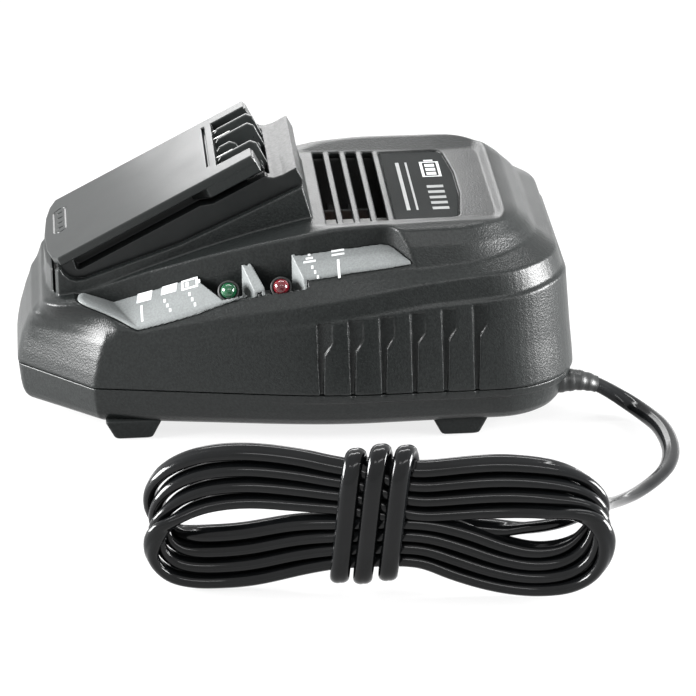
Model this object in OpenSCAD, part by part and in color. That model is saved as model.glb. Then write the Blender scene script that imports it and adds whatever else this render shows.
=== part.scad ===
// Bench charger for slide-on power tool batteries, with its mains lead tied in a hank.
// Frame: X runs from the battery nose (-X) to the cord end (+X), Z is up.
// The origin is on the floor, under the middle of the housing.

/* [Housing] */
// Length of the housing, nose to rear face
body_l = 184; // [182:1:187]
// Height of the line where the upper and lower housing meet
rim_z = 18.5; // [17.5:0.5:19.5]
// Height of the level rear deck
deck_z = 72; // [71:0.5:73]
// Thickness of the moulded walls
wall = 2.5; // [2:0.1:2.7]
// Height of the floor plate's underside
base_z = 7.5; // [7:0.5:8]

/* [Battery slide] */
// Angle of the slide above the floor
slide_tilt = 27.1; // [26.5:0.1:27.5]
// Width over the two rails
rail_w = 60; // [59:0.5:61]
// Thickness of the rail plate
rail_t = 3; // [2.6:0.1:3.2]
// Clear height of the groove under each rail
groove_h = 4.6; // [4.2:0.1:4.8]
// Width of the neck that carries the rail plate
neck_w = 46; // [44:0.5:48]

/* [Openings] */
// Number of vent slots in the deck
vent_count = 4; // [2:1:4]
// Width of one vent slot
vent_w = 3.3; // [2.5:0.1:3.6]
// Number of grip grooves on each side
grip_count = 6; // [3:1:6]
// Depth of a grip groove
grip_depth = 1.2; // [0.8:0.1:1.5]

/* [Display] */
// Diameter of one signal lamp
lamp_d = 5; // [4:0.5:5]

/* [Mains lead] */
// Width of the flat twin lead
lead_w = 6; // [5.4:0.1:6]
// Length of the hank
hank_l = 144; // [140:1:148]
// Height of the hank, which stands on its edge
hank_h = 49; // [46:1:50]
// Thickness of the hank
hank_t = 11; // [8:0.5:12]

/* [Hidden] */

$fn = 48;
gap = 0.15;

charcoal = [0.20, 0.22, 0.22];
dark_grey = [0.14, 0.15, 0.15];
mid_grey = [0.42, 0.44, 0.44];
black = [0.05, 0.05, 0.05];
brass = [0.78, 0.66, 0.36];
steel = [0.62, 0.63, 0.65];
board_green = [0.10, 0.34, 0.20];

// ---- Housing outline -------------------------------------------------------
// One level of the housing is a rounded outline through four corners on each side:
// nose corner, front crease, side bulge and rear corner. A row holds
// nose x, nose half width, crease x, crease half width, bulge half width,
// rear x, rear half width, and the radii at the nose, crease and rear corner.
nose_x = -body_l / 2;
rear_x = body_l / 2;
bulge_x = 10;
bulge_r = 150;
level_rim = [nose_x, 19.5, -67.5, 46.5, 62.6, rear_x, 61.8, 12, 6, 27];
level_side = [nose_x + 2, 19.5, -64, 46.2, 60.8, rear_x - 2.2, 60, 12, 7, 26];
level_band = [nose_x + 3.4, 20, -60, 45.6, 59.2, rear_x - 4.9, 58.2, 12, 9, 25];
level_shoulder = [nose_x + 5.6, 22, -56, 44.6, 57, rear_x - 10, 55.6, 12, 10, 24];
level_roll = [nose_x + 9, 26, -66, 40.6, 49.2, rear_x - 14.5, 47.8, 10, 8, 15];
level_crest = [nose_x + 12, 26, -68, 38, 46.8, rear_x - 23.5, 45.6, 9, 8, 8];

// Height of each level along the length, as x and z
curve_side = [[-92, 33], [-55, 34], [0, 41], [58, 48], [93, 51]];
curve_band = [[-92, 37.5], [-55, 38.5], [0, 47.5], [34, 52], [56, 55.5], [93, 58.5]];
curve_shoulder = [[-92, 41.5], [-50, 42], [-26, 48], [-10, 51.5], [4, 54.5], [34, 58.5], [56, 61], [93, 63]];
curve_roll = [[-92, 44.4], [-71, 44], [-52, 50.2], [-30, 58], [-8, 64.6], [12, 68.8], [28, 70.4],
    [64, 70.4], [79, 66]];
curve_crest = [[-92, 46], [-71, 45.6], [-52, 52], [-30, 59.8], [-8, 66.4], [12, 70.5],
    [28, deck_z], [93, deck_z]];

function unit(v) = v / norm(v);

// Points of the arc that rounds the corner at c, between the directions to p and n
function corner(p, c, n, r, steps) =
    let (a = unit(p - c),
        b = unit(n - c),
        half = acos(a * b) / 2,
        start = c + a * r / tan(half),
        centre = c + unit(a + b) * r / sin(half),
        from = atan2(start[1] - centre[1], start[0] - centre[0]),
        side = a[0] * b[1] - a[1] * b[0] > 0 ? -1 : 1,
        turn = side * (180 - 2 * half))
    [for (i = [0:steps]) centre + r * [cos(from + turn * i / steps), sin(from + turn * i / steps)]];

// The +Y half of one level, drawn in by t, from the middle of the nose to the middle of the rear
function half_outline(v, t) =
    let (nose = [v[0] + t, v[1] - 0.4 * t],
        crease = [v[2] + 0.5 * t, v[3] - t],
        bulge = [bulge_x, v[4] - t],
        rear = [v[5] - t, v[6] - t])
    concat([[v[0] + t, 0]],
        corner([nose[0], 0], nose, crease, max(v[7] - t, 1), 4),
        corner(nose, crease, bulge, max(v[8] - t, 1), 4),
        corner(crease, bulge, rear, bulge_r, 4),
        corner(bulge, rear, [rear[0], 0], max(v[9] - t, 1), 7),
        [[rear[0], 0]]);

function mirrored(half) = [for (i = [len(half) - 2:-1:1]) [half[i][0], -half[i][1]]];

// One closed ring of points at the heights of a curve, lowered by drop
function ring(v, t, curve, drop) =
    let (half = half_outline(v, t))
    [for (p = concat(half, mirrored(half))) [p[0], p[1], lookup(p[0], curve) - drop]];

function flat(z) = [[-100, z], [100, z]];

// Faces of a stack of rings: walls, a flat bottom, and a top ruled straight across in Y
function stack_faces(rings) =
    let (n = len(rings[0]),
        m = n / 2,
        last = (len(rings) - 1) * n)
    concat(
        [for (k = [0:len(rings) - 2], i = [0:n - 1])
            [k * n + i, k * n + (i + 1) % n, (k + 1) * n + (i + 1) % n]],
        [for (k = [0:len(rings) - 2], i = [0:n - 1])
            [k * n + i, (k + 1) * n + (i + 1) % n, (k + 1) * n + i]],
        [[for (i = [n - 1:-1:0]) i]],
        [[last, last + 1, last + n - 1]],
        [for (i = [1:m - 2]) [last + i, last + i + 1, last + n - i - 1]],
        [for (i = [1:m - 2]) [last + i, last + n - i - 1, last + n - i]],
        [[last + m - 1, last + m, last + m + 1]]);

module stack(rings) {
    points = [for (r = rings, p = r) p];
    faces = stack_faces(rings);
    polyhedron(points, faces);
}

// The upper form drawn in by t; its open side is at the height of bottom
module upper_form(t, bottom) {
    stack([
        ring(level_rim, t, flat(bottom), 0),
        ring(level_rim, t, flat(rim_z + 0.5), 0),
        ring(level_side, t, curve_side, 0.2 * t),
        ring(level_band, t, curve_band, 0.3 * t),
        ring(level_shoulder, t, curve_shoulder, 0.5 * t),
        ring(level_roll, 0.7 * t, curve_roll, 0.9 * t),
        ring(level_crest, 0.4 * t, curve_crest, t)]);
}

// The lower form drawn in by t, from a chamfered floor up to the rim
module lower_form(t, top) {
    stack([
        ring(level_rim, 6 + 0.5 * t, flat(base_z + t), 0),
        ring(level_rim, 3.6 + t, flat(base_z + 1.4 + 0.6 * t), 0),
        ring(level_rim, 1.4 + t, flat(base_z + 5), 0),
        ring(level_rim, 0.5 + t, flat(top), 0)]);
}

// ---- Battery slide ---------------------------------------------------------
slide_x = -75;
slide_z = 59.6;
slide_len = 69.7;
neck_drop = rail_t + groove_h;
shoe_half = 28.6;
collar_half = 31.5;
seam = [[-71, 50], [-36.7, 61.7], [3.9, 80.5]];
shoe_front_x = -78.5;
stop_back = [6.8, 70];
deck_in_x = 7.4;
contact_u = 54;
contact_half = 25;
// Pocket in front of the end stop, for the end rib of the battery
stop_pocket_x = [-10.9, -5.4];
stop_pocket_z = 76.5;
stop_pocket_half = 24;
power_v = 18;
signal_v = 10;
blade_t = 0.8;
blade_h = 5.2;
rib_count = 4;
rib_pitch = 10;
rib_t = 1.2;

// Places its children in the slide's own frame: x up the slope, z out of the plate
module on_slide() {
    translate([slide_x, 0, slide_z])
        rotate([0, -slide_tilt, 0])
            children();
}

// A side profile in X and Z, given its full width in Y
module across(points, half) {
    rotate([90, 0, 0])
        linear_extrude(height = 2 * half, center = true)
            polygon(points);
}

function slide_point(u, w) =
    [slide_x + u * cos(slide_tilt) - w * sin(slide_tilt),
        slide_z + u * sin(slide_tilt) + w * cos(slide_tilt)];

// ---- Openings --------------------------------------------------------------
vent_x0 = 12.9;
vent_pitch = 5.6;
vent_half = 36.5;
grip_x0 = 6.2;
grip_pitch = 10.15;
grip_w = 4.6;
grip_low_z = 19;
grip_top_z = 42;
grip_rise = 1;
grip_half_w = 70;
groove_pin_r = 0.4;

// Outline of the lamp panel on the side bevel, in X and Z, seen from the side
panel_outline = [[-72, 45.5], [-52, 42.2], [-25.8, 48.2], [-10, 51.6], [4, 54.6], [35, 59], [40.5, 60.2],
    [30.5, 66.4], [1, 63.6], [-17, 59.4], [-34, 54], [-58, 46.6]];
panel_sink = 1.1;
panel_t = 2.2;
lamp_x = [-22.6, -4.9];
lamp_z = [51.9, 54];
lamp_y = [-49.1, -53.4];
bevel_tilt = 52;
lamp_wire_in = 7.6;

label_x = [33.5, 55.5];
label_half = 33;
label_sink = 0.9;
label_t = 0.6;

// ---- Inside ----------------------------------------------------------------
board_z = 23;
board_t = 1.6;
board_top = board_z + board_t;
board_x = [-66, 82];
board_half = 44;
boss_at = [[-44, 32], [-44, -32], [76, 22], [76, -22]];
boss_r = 3.4;
screw_r = 1.45;
screw_bore_r = 1.6;
screw_head_r = 3;
well_r = 4.2;
post_at = [[-60, 14], [-60, -14], [60, 24], [66, -16]];
post_r = 3;
post_screw_r = 1.2;
foot_at = [[-54.2, 40], [53, 48]];
foot_top_w = 18;
foot_low_w = 12;
foot_depth = 12;
floor_slots = 9;
transformer_at = [27, -2];
core_w = 34;
core_d = 30;
core_h = 30;
pin_l = 2.1;
// Height at which a piece stands on the board
seat_z = board_top + 0.05;
mains_capacitor_at = [60, -1];
mains_capacitor_r = 9;
mains_capacitor_h = 34;
output_capacitor_x = -6;
output_capacitor_y = 19;
output_capacitor_r = 5;
output_capacitor_h = 20;
choke_at = [53, -28];
choke_r = 6;
choke_wire_r = 3;
film_at = [28, -34];
film_size = [16, 7, 12];
rectifier_at = [44, 22];
rectifier_size = [4, 14, 12];
fuse_at = [41, -18];
fuse_l = 12;
fuse_r = 2.6;
sink_at = [2, 30];
sink_l = 30;
sink_h = 26;
fin_count = 5;
fin_t = 2;
fin_l = 6;
chip_at = [-38, -6];
chip_size = [10, 8, 2.2];
terminal_at = [46, -40];
terminal_size = [12, 6, 9];

// ---- Mains lead ------------------------------------------------------------
exit_x = rear_x - 4.5;
exit_y = -41.5;
exit_z = 13;
sleeve_in = 21;
sleeve_out = 5;
sleeve_r = 3.6;
sleeve_tip_r = 3.1;
collar_in = 8;
collar_l = 3.6;
collar_r = 4.2;
clamp_x = exit_x - 17;
clamp_screw_y = 8.5;
clamp_l = 6;
clamp_w = 23;
clamp_h = 7;
clamp_post_r = 3;
clamp_post_h = 5.9;
lead_r = lead_w / 2;
lead_z = lead_r + 0.01;
lead_sides = 10;
// Route of the lead from the strain relief to the back of the hank
lead_route = [[92.52, -41.5, 13], [98, -40.8, 11.6], [104, -40.2, 8], [110, -42.6, 4.6],
    [114.8, -50, lead_z], [117.8, -60, lead_z], [119, -72, lead_z], [118, -87, lead_z],
    [115, -98, lead_z], [109.5, -108.5, lead_z], [102.8, -119, 3.6], [96.7, -130, 6], [91.8, -142, 10],
    [87.8, -154, 14.6], [85.2, -166, 19], [81.6, -174.5, 21.8], [76, -181, 22.2], [69, -184.4, 21.6],
    [60, -185.5, 21.2]];
// Route of the lead from the hank to the plug
tail_route = [[22, -178, 8.5], [22, -172, 7.6], [22, -166, 7], [22, -161, 7]];
hank_mid = [16.4, -180.4];
hank_turn = -10.5;
plug_mid_x = 22;
plug_tip_y = -95;
plug_pin_l = 19;
plug_body_l = 36;
plug_sleeve_l = 11;
plug_z = 7;
plug_half_w = 12;
plug_half_t = 6.8;
pin_r = 2;
pin_pitch = 19;

// Catmull-Rom point between b and c, at t from 0 to 1
function spline(a, b, c, d, t) =
    0.5 * (2 * b + (c - a) * t + (2 * a - 5 * b + 4 * c - d) * t * t
        + (3 * b - a - 3 * c + d) * t * t * t);
function at(list, i) = list[min(max(i, 0), len(list) - 1)];
function smooth_route(route, steps) = concat(
    [for (i = [0:len(route) - 2], s = [0:steps - 1])
        spline(at(route, i - 1), route[i], route[i + 1], at(route, i + 2), s / steps)],
    [route[len(route) - 1]]);
function heading(path, i) = unit(at(path, i + 1) - at(path, i - 1));

// A round tube along a route that stays nearly level
module tube(route, r, sides, steps) {
    path = smooth_route(route, steps);
    points = [for (i = [0:len(path) - 1])
        let (d = heading(path, i),
            across_d = unit(cross(d, [0, 0, 1])),
            up = cross(across_d, d))
        for (k = [0:sides - 1])
            path[i] + r * (cos(k * 360 / sides) * across_d + sin(k * 360 / sides) * up)];
    last = (len(path) - 1) * sides;
    faces = concat(
        [[for (k = [sides - 1:-1:0]) k]],
        [for (i = [0:len(path) - 2], k = [0:sides - 1])
            let (near = i * sides, far = near + sides, next = (k + 1) % sides)
            [near + k, near + next, far + next, far + k]],
        [[for (k = [0:sides - 1]) last + k]]);
    polyhedron(points, faces);
}

// ---- Housing ---------------------------------------------------------------
// A thin pin across the housing, which marks one corner of a grip groove
module groove_pin(x, z) {
    translate([x, 0, z])
        rotate([90, 0, 0])
            cylinder(h = 2 * grip_half_w, r = groove_pin_r, center = true, $fn = 12);
}

// A groove with a slanted head, cut straight in along Y
module grip_prism(i) {
    x = grip_x0 + i * grip_pitch;
    top = grip_top_z + i * grip_rise;
    hull() {
        groove_pin(x + 0.6, grip_low_z);
        groove_pin(x, top);
        groove_pin(x + grip_w - 2.2, grip_low_z);
    }
    hull() {
        groove_pin(x, top);
        groove_pin(x + grip_w, top);
        groove_pin(x + grip_w, top - 6);
        groove_pin(x + 0.2, top - 14);
    }
}

module panel_prism(grow) {
    translate([0, -36, 0])
        rotate([90, 0, 0])
            linear_extrude(height = 40)
                offset(delta = grow)
                    polygon(panel_outline);
}

// The raised collar that frames the slide, as a side profile
module collar(t, half) {
    across([[-76, 40], seam[0] + [t - 4, -4], seam[0] + [t, t], seam[1] + [0, t], seam[2] + [-t, t],
        stop_back + [-t, 0], [deck_in_x - t, 60]], half);
}

module upper_housing() {
    color(charcoal)
        difference() {
            union() {
                difference() {
                    upper_form(0, rim_z);
                    upper_form(wall, rim_z - 1);
                }
                intersection() {
                    collar(0, collar_half);
                    upper_top();
                }
                intersection() {
                    bosses();
                    upper_form(wall - 0.3, rim_z);
                }
            }
            collar(wall, collar_half - wall);
            across([[shoe_front_x - gap, 43], [shoe_front_x - gap, 70], [-40, 70], [-40, 50]],
                shoe_half + gap);
            boss_bores();
            vents();
            grips();
            panel_prism(0);
            lamp_bores();
            label_seat();
        }
}

module lamp_bores() {
    for (i = [0, 1])
        lamp_place(i)
            translate([0, 0, -6])
                cylinder(h = 12, r = lamp_d / 2 + 0.1, $fn = 32);
}

// Everything above the inner face of the deck
module upper_top() {
    difference() {
        translate([-100, -80, 40])
            cube([200, 160, 60]);
        upper_form(wall, rim_z - 1);
    }
}

module bosses() {
    for (p = boss_at)
        translate([p[0], p[1], rim_z + 3.6])
            cylinder(h = 50, r = boss_r);
}

module boss_bores() {
    for (p = boss_at)
        translate([p[0], p[1], rim_z])
            cylinder(h = 17, r = screw_bore_r, $fn = 24);
}

module vents() {
    for (i = [0:vent_count - 1])
        translate([vent_x0 + i * vent_pitch, 0, deck_z])
            cube([vent_w, 2 * vent_half, 12], center = true);
}

module grips() {
    intersection() {
        for (i = [0:grip_count - 1])
            grip_prism(i);
        difference() {
            upper_form(-1, rim_z - 1);
            upper_form(grip_depth, rim_z - 2);
        }
    }
}

module label_seat() {
    translate([label_x[0], -label_half, deck_z - label_sink])
        cube([label_x[1] - label_x[0], 2 * label_half, 5]);
}

module lower_housing() {
    color(charcoal)
        difference() {
            union() {
                difference() {
                    lower_form(0, rim_z - gap);
                    lower_form(wall, rim_z + 1);
                }
                intersection() {
                    lower_posts();
                    lower_form(0.5, rim_z + 10);
                }
            }
            lower_wells();
            floor_vents();
            lead_hole();
        }
}

module lower_posts() {
    for (p = boss_at)
        translate([p[0], p[1], base_z + 0.5])
            cylinder(h = rim_z + 3 - base_z, r = boss_r + 2.4);
    for (p = post_at)
        translate([p[0], p[1], base_z + 0.5])
            cylinder(h = board_z - base_z - 0.6, r = post_r);
    for (s = [-1, 1])
        translate([clamp_x, exit_y + s * clamp_screw_y, base_z + 0.5])
            cylinder(h = clamp_post_h, r = clamp_post_r);
}

module lower_wells() {
    for (p = boss_at) {
        translate([p[0], p[1], base_z - 1])
            cylinder(h = 7, r = well_r);
        translate([p[0], p[1], base_z])
            cylinder(h = 30, r = screw_bore_r, $fn = 24);
    }
    for (p = post_at)
        translate([p[0], p[1], base_z + 3])
            cylinder(h = 30, r = post_screw_r + 0.1, $fn = 24);
    for (s = [-1, 1])
        translate([clamp_x, exit_y + s * clamp_screw_y, base_z + 3])
            cylinder(h = 12, r = post_screw_r + 0.1, $fn = 24);
}

module floor_vents() {
    for (i = [0:floor_slots - 1])
        hull()
            for (s = [-1, 1])
                translate([-24 + i * 8, s * 16, base_z - 1])
                    cylinder(h = 6, r = 1.6, $fn = 16);
}

module lead_hole() {
    translate([exit_x - 24, exit_y, exit_z])
        rotate([0, 90, 0])
            cylinder(h = 40, r = sleeve_r + 0.1, $fn = 24);
    translate([exit_x - collar_in - 0.1, exit_y, exit_z])
        rotate([0, 90, 0])
            cylinder(h = collar_l + 0.2, r = collar_r + gap, $fn = 24);
}

// Four feet: a trapezoid seen from the side, seated on the floor plate
module feet() {
    color(dark_grey)
        for (f = foot_at, s = [-1, 1])
            translate([f[0], s * f[1], 0])
                across([[-foot_low_w / 2, 0], [foot_low_w / 2, 0], [foot_top_w / 2 - 0.6, base_z - 0.02],
                    [-foot_top_w / 2 + 0.6, base_z - 0.02]], foot_depth / 2);
}

module pan_screw(r, length, head_r, head_h) {
    cylinder(h = length, r = r);
    translate([0, 0, -head_h])
        difference() {
            cylinder(h = head_h, r = head_r);
            translate([0, 0, -0.1])
                cylinder(h = 1.3, r = head_r * 0.4, $fn = 6);
        }
}

module housing_screws() {
    color(steel)
        for (p = boss_at)
            translate([p[0], p[1], base_z + 6])
                pan_screw(screw_r, 20, screw_head_r, 2.4);
}

// ---- Battery slide ---------------------------------------------------------
// Neck, flanks and end stop of the slide, one hollow moulding that sits in the collar
module battery_shoe() {
    low_front = slide_point(-1, -neck_drop);
    low_back = slide_point(67, -neck_drop);
    top_front = slide_point(0, -rail_t - 0.02);
    top_back = slide_point(66, -rail_t - 0.02);
    color(dark_grey)
        difference() {
            union() {
                across([[shoe_front_x, 45.8], [shoe_front_x, 54], low_front, low_back, [-9, 83.1], [-4.2, 82],
                    [2, 85.6], seam[2] + [0, 0.05], [1.5, 80.55], [1.5, 77], seam[1] + [0, -4], [-71, 46.4]],
                    shoe_half);
                across([low_front, top_front, top_back, low_back], neck_w / 2);
                across([slide_point(-5, -rail_t - 0.02), slide_point(1, -rail_t - 0.02), low_front + [2, 0.5],
                    [-77, 52], [shoe_front_x, 52]], shoe_half);
            }
            across([[-74, 44], [-74, 51.5], slide_point(1.5, -neck_drop - wall),
                slide_point(63, -neck_drop - wall), [-8.6, 72], [0.5, 72], [0.5, 66], [-30, 48]],
                shoe_half - wall);
            across([slide_point(5, -rail_t - 2), slide_point(52, -rail_t - 2), slide_point(52, -20),
                slide_point(5, -20)], neck_w / 2 - wall);
            on_slide()
                translate([contact_u, -contact_half + 4, -16])
                    cube([12.5, 2 * contact_half - 8, 18]);
            stop_relief();
            across([[stop_pocket_x[0], stop_pocket_z], [stop_pocket_x[0], 90], [stop_pocket_x[1], 90],
                [stop_pocket_x[1], stop_pocket_z]], stop_pocket_half);
        }
}

// The hollow behind the end stop, open at the bottom
module stop_relief() {
    across([[-2.6, 71], [-2.6, 80.2], [0, 82], [0.5, 81], [0.5, 71]], shoe_half - wall);
}

// The plate with the two rails, rounded at the nose and open at the contact end
module rail_plate() {
    color(mid_grey)
        on_slide()
            translate([0, 0, -rail_t])
                difference() {
                    linear_extrude(height = rail_t)
                        rail_outline();
                    translate([contact_u, -contact_half, -1])
                        cube([slide_len - contact_u + 1, 2 * contact_half, rail_t + 2]);
                }
}

module rail_outline() {
    half = rail_w / 2;
    polygon([[slide_len, half], [0, half], [-3, half - 1.5], [-5.2, half - 6], [-6.6, half - 14], [-7, 0],
        [-6.6, 14 - half], [-5.2, 6 - half], [-3, 1.5 - half], [0, -half], [slide_len, -half]]);
}

// Insulating block with a rib between the contact chambers
module contact_holder() {
    color(dark_grey)
        on_slide() {
            translate([contact_u + 0.3, -contact_half + 4.2, -9.6])
                cube([12, 2 * contact_half - 8.4, 3]);
            translate([contact_u + 0.3, -contact_half + 0.4, -rail_t + 0.1])
                cube([2, 2 * contact_half - 0.8, rail_t - 0.2]);
            translate([contact_u + 0.3, -contact_half + 4.2, -6.7])
                cube([2, 2 * contact_half - 8.4, 3.9]);
            for (i = [0:rib_count - 1])
                translate([contact_u + 2.2, (i - (rib_count - 1) / 2) * rib_pitch - rib_t / 2, -6.7])
                    cube([10, rib_t, 6.1]);
        }
}

// A contact blade that stands in its chamber, with a foot that runs down through the block
module blade(v, long) {
    on_slide()
        translate([contact_u + 3.4, v - blade_t / 2, -6.5])
            cube([long, blade_t, blade_h]);
    on_slide()
        translate([contact_u + 6, v - blade_t / 2, -14])
            cube([3, blade_t, 7.6]);
}

module positive_contact() {
    color(brass)
        blade(power_v, 8);
}

module negative_contact() {
    color(brass)
        blade(-power_v, 8);
}

module signal_contacts() {
    color(brass)
        for (v = [-signal_v, signal_v])
            blade(v, 6);
}

// ---- Display ---------------------------------------------------------------
module lamp_place(i) {
    translate([lamp_x[i], lamp_y[i], lamp_z[i]])
        rotate([bevel_tilt, 0, 0])
            children();
}

module led_panel() {
    color(mid_grey)
        difference() {
            intersection() {
                union() {
                    intersection() {
                        panel_prism(-gap);
                        upper_form(panel_sink, rim_z + 4);
                    }
                    intersection() {
                        panel_prism(2);
                        upper_form(wall + 0.2, rim_z + 4);
                    }
                }
                difference() {
                    panel_prism(3);
                    upper_form(panel_sink + panel_t, rim_z + 3);
                }
            }
            for (i = [0, 1])
                hull()
                    for (du = [-4, 4], dv = [-3, 4.6])
                        lamp_place(i)
                            translate([du, dv, -0.4])
                                cylinder(h = 10, r = 1, $fn = 16);
            lamp_bores();
            icon_marks();
        }
}

// Shallow plain marks: battery bars on the left, round and bar signs on the right
module icon_marks() {
    mark_x = [-51, -42, -33, 8, 19];
    mark_z = [47.6, 49.8, 52, 60.3, 61.8];
    for (i = [0:len(mark_x) - 1])
        translate([mark_x[i], -49.4, mark_z[i]])
            rotate([bevel_tilt, 0, 0])
                for (s = [0, 1])
                    hull()
                        for (w = [-1, 1])
                            translate([w * 1.6, s * 4 - 2, -0.4])
                                cylinder(h = 6, r = 0.3, $fn = 12);
}

module lamp(i) {
    lamp_place(i) {
        translate([0, 0, -4])
            cylinder(h = 4, r = lamp_d / 2 - 0.05);
        intersection() {
            sphere(r = lamp_d / 2 - 0.05);
            translate([-5, -5, 0])
                cube(10);
        }
    }
}

module green_lamp() {
    color([0.1, 0.6, 0.35])
        lamp(0);
}

module red_lamp() {
    color([0.7, 0.1, 0.1])
        lamp(1);
}

// A small board behind each lamp
module lamp_boards() {
    color(board_green)
        for (i = [0, 1])
            lamp_place(i)
                translate([-4, -3, -6.6])
                    cube([8, 6, 1.2]);
}

module lamp_chips() {
    color([0.95, 0.93, 0.8])
        for (i = [0, 1])
            lamp_place(i)
                translate([-1.6, -1.6, -5.38])
                    cube([3.2, 3.2, 1.3]);
}

// Stiff wires that hold the lamp boards above the main board
module lamp_wires() {
    color(brass)
        for (i = [0, 1], s = [-1, 1])
            translate([lamp_x[i] + s * 2.5, lamp_y[i] + lamp_wire_in, board_top + 0.02])
                cylinder(h = lamp_z[i] - 2.5 - board_top, r = 0.5, $fn = 24);
}

module label_plate() {
    w = label_x[1] - label_x[0] - 2 * gap;
    l = 2 * (label_half - gap);
    color(black)
        translate([label_x[0] + gap, -label_half + gap, deck_z - label_sink + 0.02])
            linear_extrude(height = label_t)
                polygon([[0, 0], [w - 4, 0], [w, 5], [w, l - 4], [w - 2.7, l], [0, l]]);
}

// ---- Electronics -----------------------------------------------------------
module circuit_board() {
    color(board_green)
        difference() {
            translate([0, 0, board_z])
                linear_extrude(height = board_t)
                    polygon([[board_x[0], -26], [board_x[0], 26], [-48, board_half],
                        [board_x[1] - 10, board_half], [board_x[1], board_half - 12],
                        [board_x[1], -30], [board_x[1] - 20, -board_half], [-48, -board_half]]);
            for (p = boss_at)
                translate([p[0], p[1], board_z - 1])
                    cylinder(h = 4, r = boss_r + 3);
            for (p = post_at)
                translate([p[0], p[1], board_z - 1])
                    cylinder(h = 4, r = post_screw_r + 0.2);
            translate([exit_x - 24, exit_y - 14, board_z - 1])
                cube([30, 29, 4]);
        }
}

module board_screws() {
    color(steel)
        for (p = post_at)
            translate([p[0], p[1], board_top + 0.02])
                rotate([180, 0, 0])
                    pan_screw(post_screw_r, 8, 2.4, 1.8);
}

module transformer_core() {
    color([0.16, 0.16, 0.17])
        translate([transformer_at[0], transformer_at[1], board_top + pin_l])
            difference() {
                translate([-core_w / 2, -5.5, 0])
                    cube([core_w, 11, core_h]);
                for (s = [-1, 1])
                    translate([s * 9.25 - 3.25, -6, 5])
                        cube([6.5, 12, core_h - 10]);
            }
}

module transformer_winding() {
    color([0.85, 0.62, 0.15])
        translate([transformer_at[0], transformer_at[1], board_top + pin_l]) {
            difference() {
                translate([0, 0, 5.3])
                    linear_extrude(height = core_h - 10.6)
                        square([24.4, core_d - 8], center = true);
                cube([12.4, 11.4, 80], center = true);
            }
            for (x = [-8, -3, 3, 8], s = [-1, 1])
                translate([x - 0.5, s * 9.5 - 0.5, -pin_l])
                    cube([1, 1, 7.6]);
        }
}

module can(r, h) {
    cylinder(h = h - 1, r = r);
    translate([0, 0, h - 1])
        cylinder(h = 1, r = r - 0.8);
}

module mains_capacitor() {
    color([0.12, 0.14, 0.25])
        translate([mains_capacitor_at[0], mains_capacitor_at[1], seat_z])
            can(mains_capacitor_r, mains_capacitor_h);
}

module output_capacitors() {
    color([0.10, 0.10, 0.12])
        for (s = [-1, 1])
            translate([output_capacitor_x, s * output_capacitor_y, seat_z])
                can(output_capacitor_r, output_capacitor_h);
}

module line_choke() {
    color([0.75, 0.45, 0.2])
        translate([choke_at[0], choke_at[1], seat_z + choke_r + choke_wire_r + 0.15])
            rotate([90, 0, 0])
                rotate_extrude()
                    translate([choke_r, 0])
                        circle(r = choke_wire_r);
}

module suppression_capacitor() {
    color([0.85, 0.7, 0.2])
        translate([film_at[0], film_at[1], seat_z])
            cube(film_size);
}

module rectifier() {
    color(black)
        translate([rectifier_at[0], rectifier_at[1], seat_z])
            cube(rectifier_size);
}

module fuse() {
    color([0.9, 0.9, 0.88])
        translate([fuse_at[0], fuse_at[1], seat_z + fuse_r + 0.55])
            rotate([0, 90, 0])
                cylinder(h = fuse_l, r = fuse_r, $fn = 32);
}

module heat_sink() {
    color(steel) {
        translate([sink_at[0], sink_at[1], seat_z])
            cube([sink_l, fin_t, sink_h]);
        for (i = [0:fin_count - 1])
            translate([sink_at[0] + i * (sink_l - fin_t) / (fin_count - 1), sink_at[1] + fin_t - 0.1, seat_z])
                cube([fin_t, fin_l, sink_h]);
    }
}

module power_transistor() {
    color(black) {
        translate([sink_at[0] + 8, sink_at[1] - 4.6, board_top + 5])
            cube([10, 4.5, 14]);
        for (x = [10, 13, 16])
            translate([sink_at[0] + x - 0.4, sink_at[1] - 3, seat_z])
                cube([0.8, 0.6, 5]);
    }
}

module control_chip() {
    color(black)
        translate([chip_at[0], chip_at[1], seat_z])
            cube(chip_size);
}

module mains_terminal() {
    color([0.2, 0.45, 0.3])
        difference() {
            translate([terminal_at[0], terminal_at[1], seat_z])
                cube(terminal_size);
            for (x = [3, 9])
                translate([terminal_at[0] + x, terminal_at[1] - 1, board_top + 5])
                    rotate([-90, 0, 0])
                        cylinder(h = 4, r = 1.3, $fn = 24);
        }
}

// Four wires from the board up to the contact blades
module contact_wires() {
    color([0.75, 0.1, 0.1])
        for (v = [-power_v, -signal_v, signal_v, power_v]) {
            foot = slide_point(contact_u + 7.5, -14.1);
            translate([foot[0], v, seat_z])
                cylinder(h = foot[1] - board_top, r = 1, $fn = 24);
        }
}

// The two inner cores of the lead, from the clamp to the terminal
module inner_lead() {
    color([0.2, 0.3, 0.6])
        for (s = [-1, 1])
            tube([[exit_x - 21.8, exit_y + s * 1.2, exit_z], [exit_x - 26, exit_y + s * 1.8 - 4, exit_z + 1],
                [exit_x - 30, exit_y + s * 1.5 - 8.5, exit_z + 8], [54 + s * 3, -48, board_top + 4.4],
                [52 + s * 3, -44.5, board_top + 5.05], [52 + s * 3, -41, board_top + 5.05],
                [52 + s * 3, -38.6, board_top + 5.05]], 1, 8, 3);
}

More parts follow.
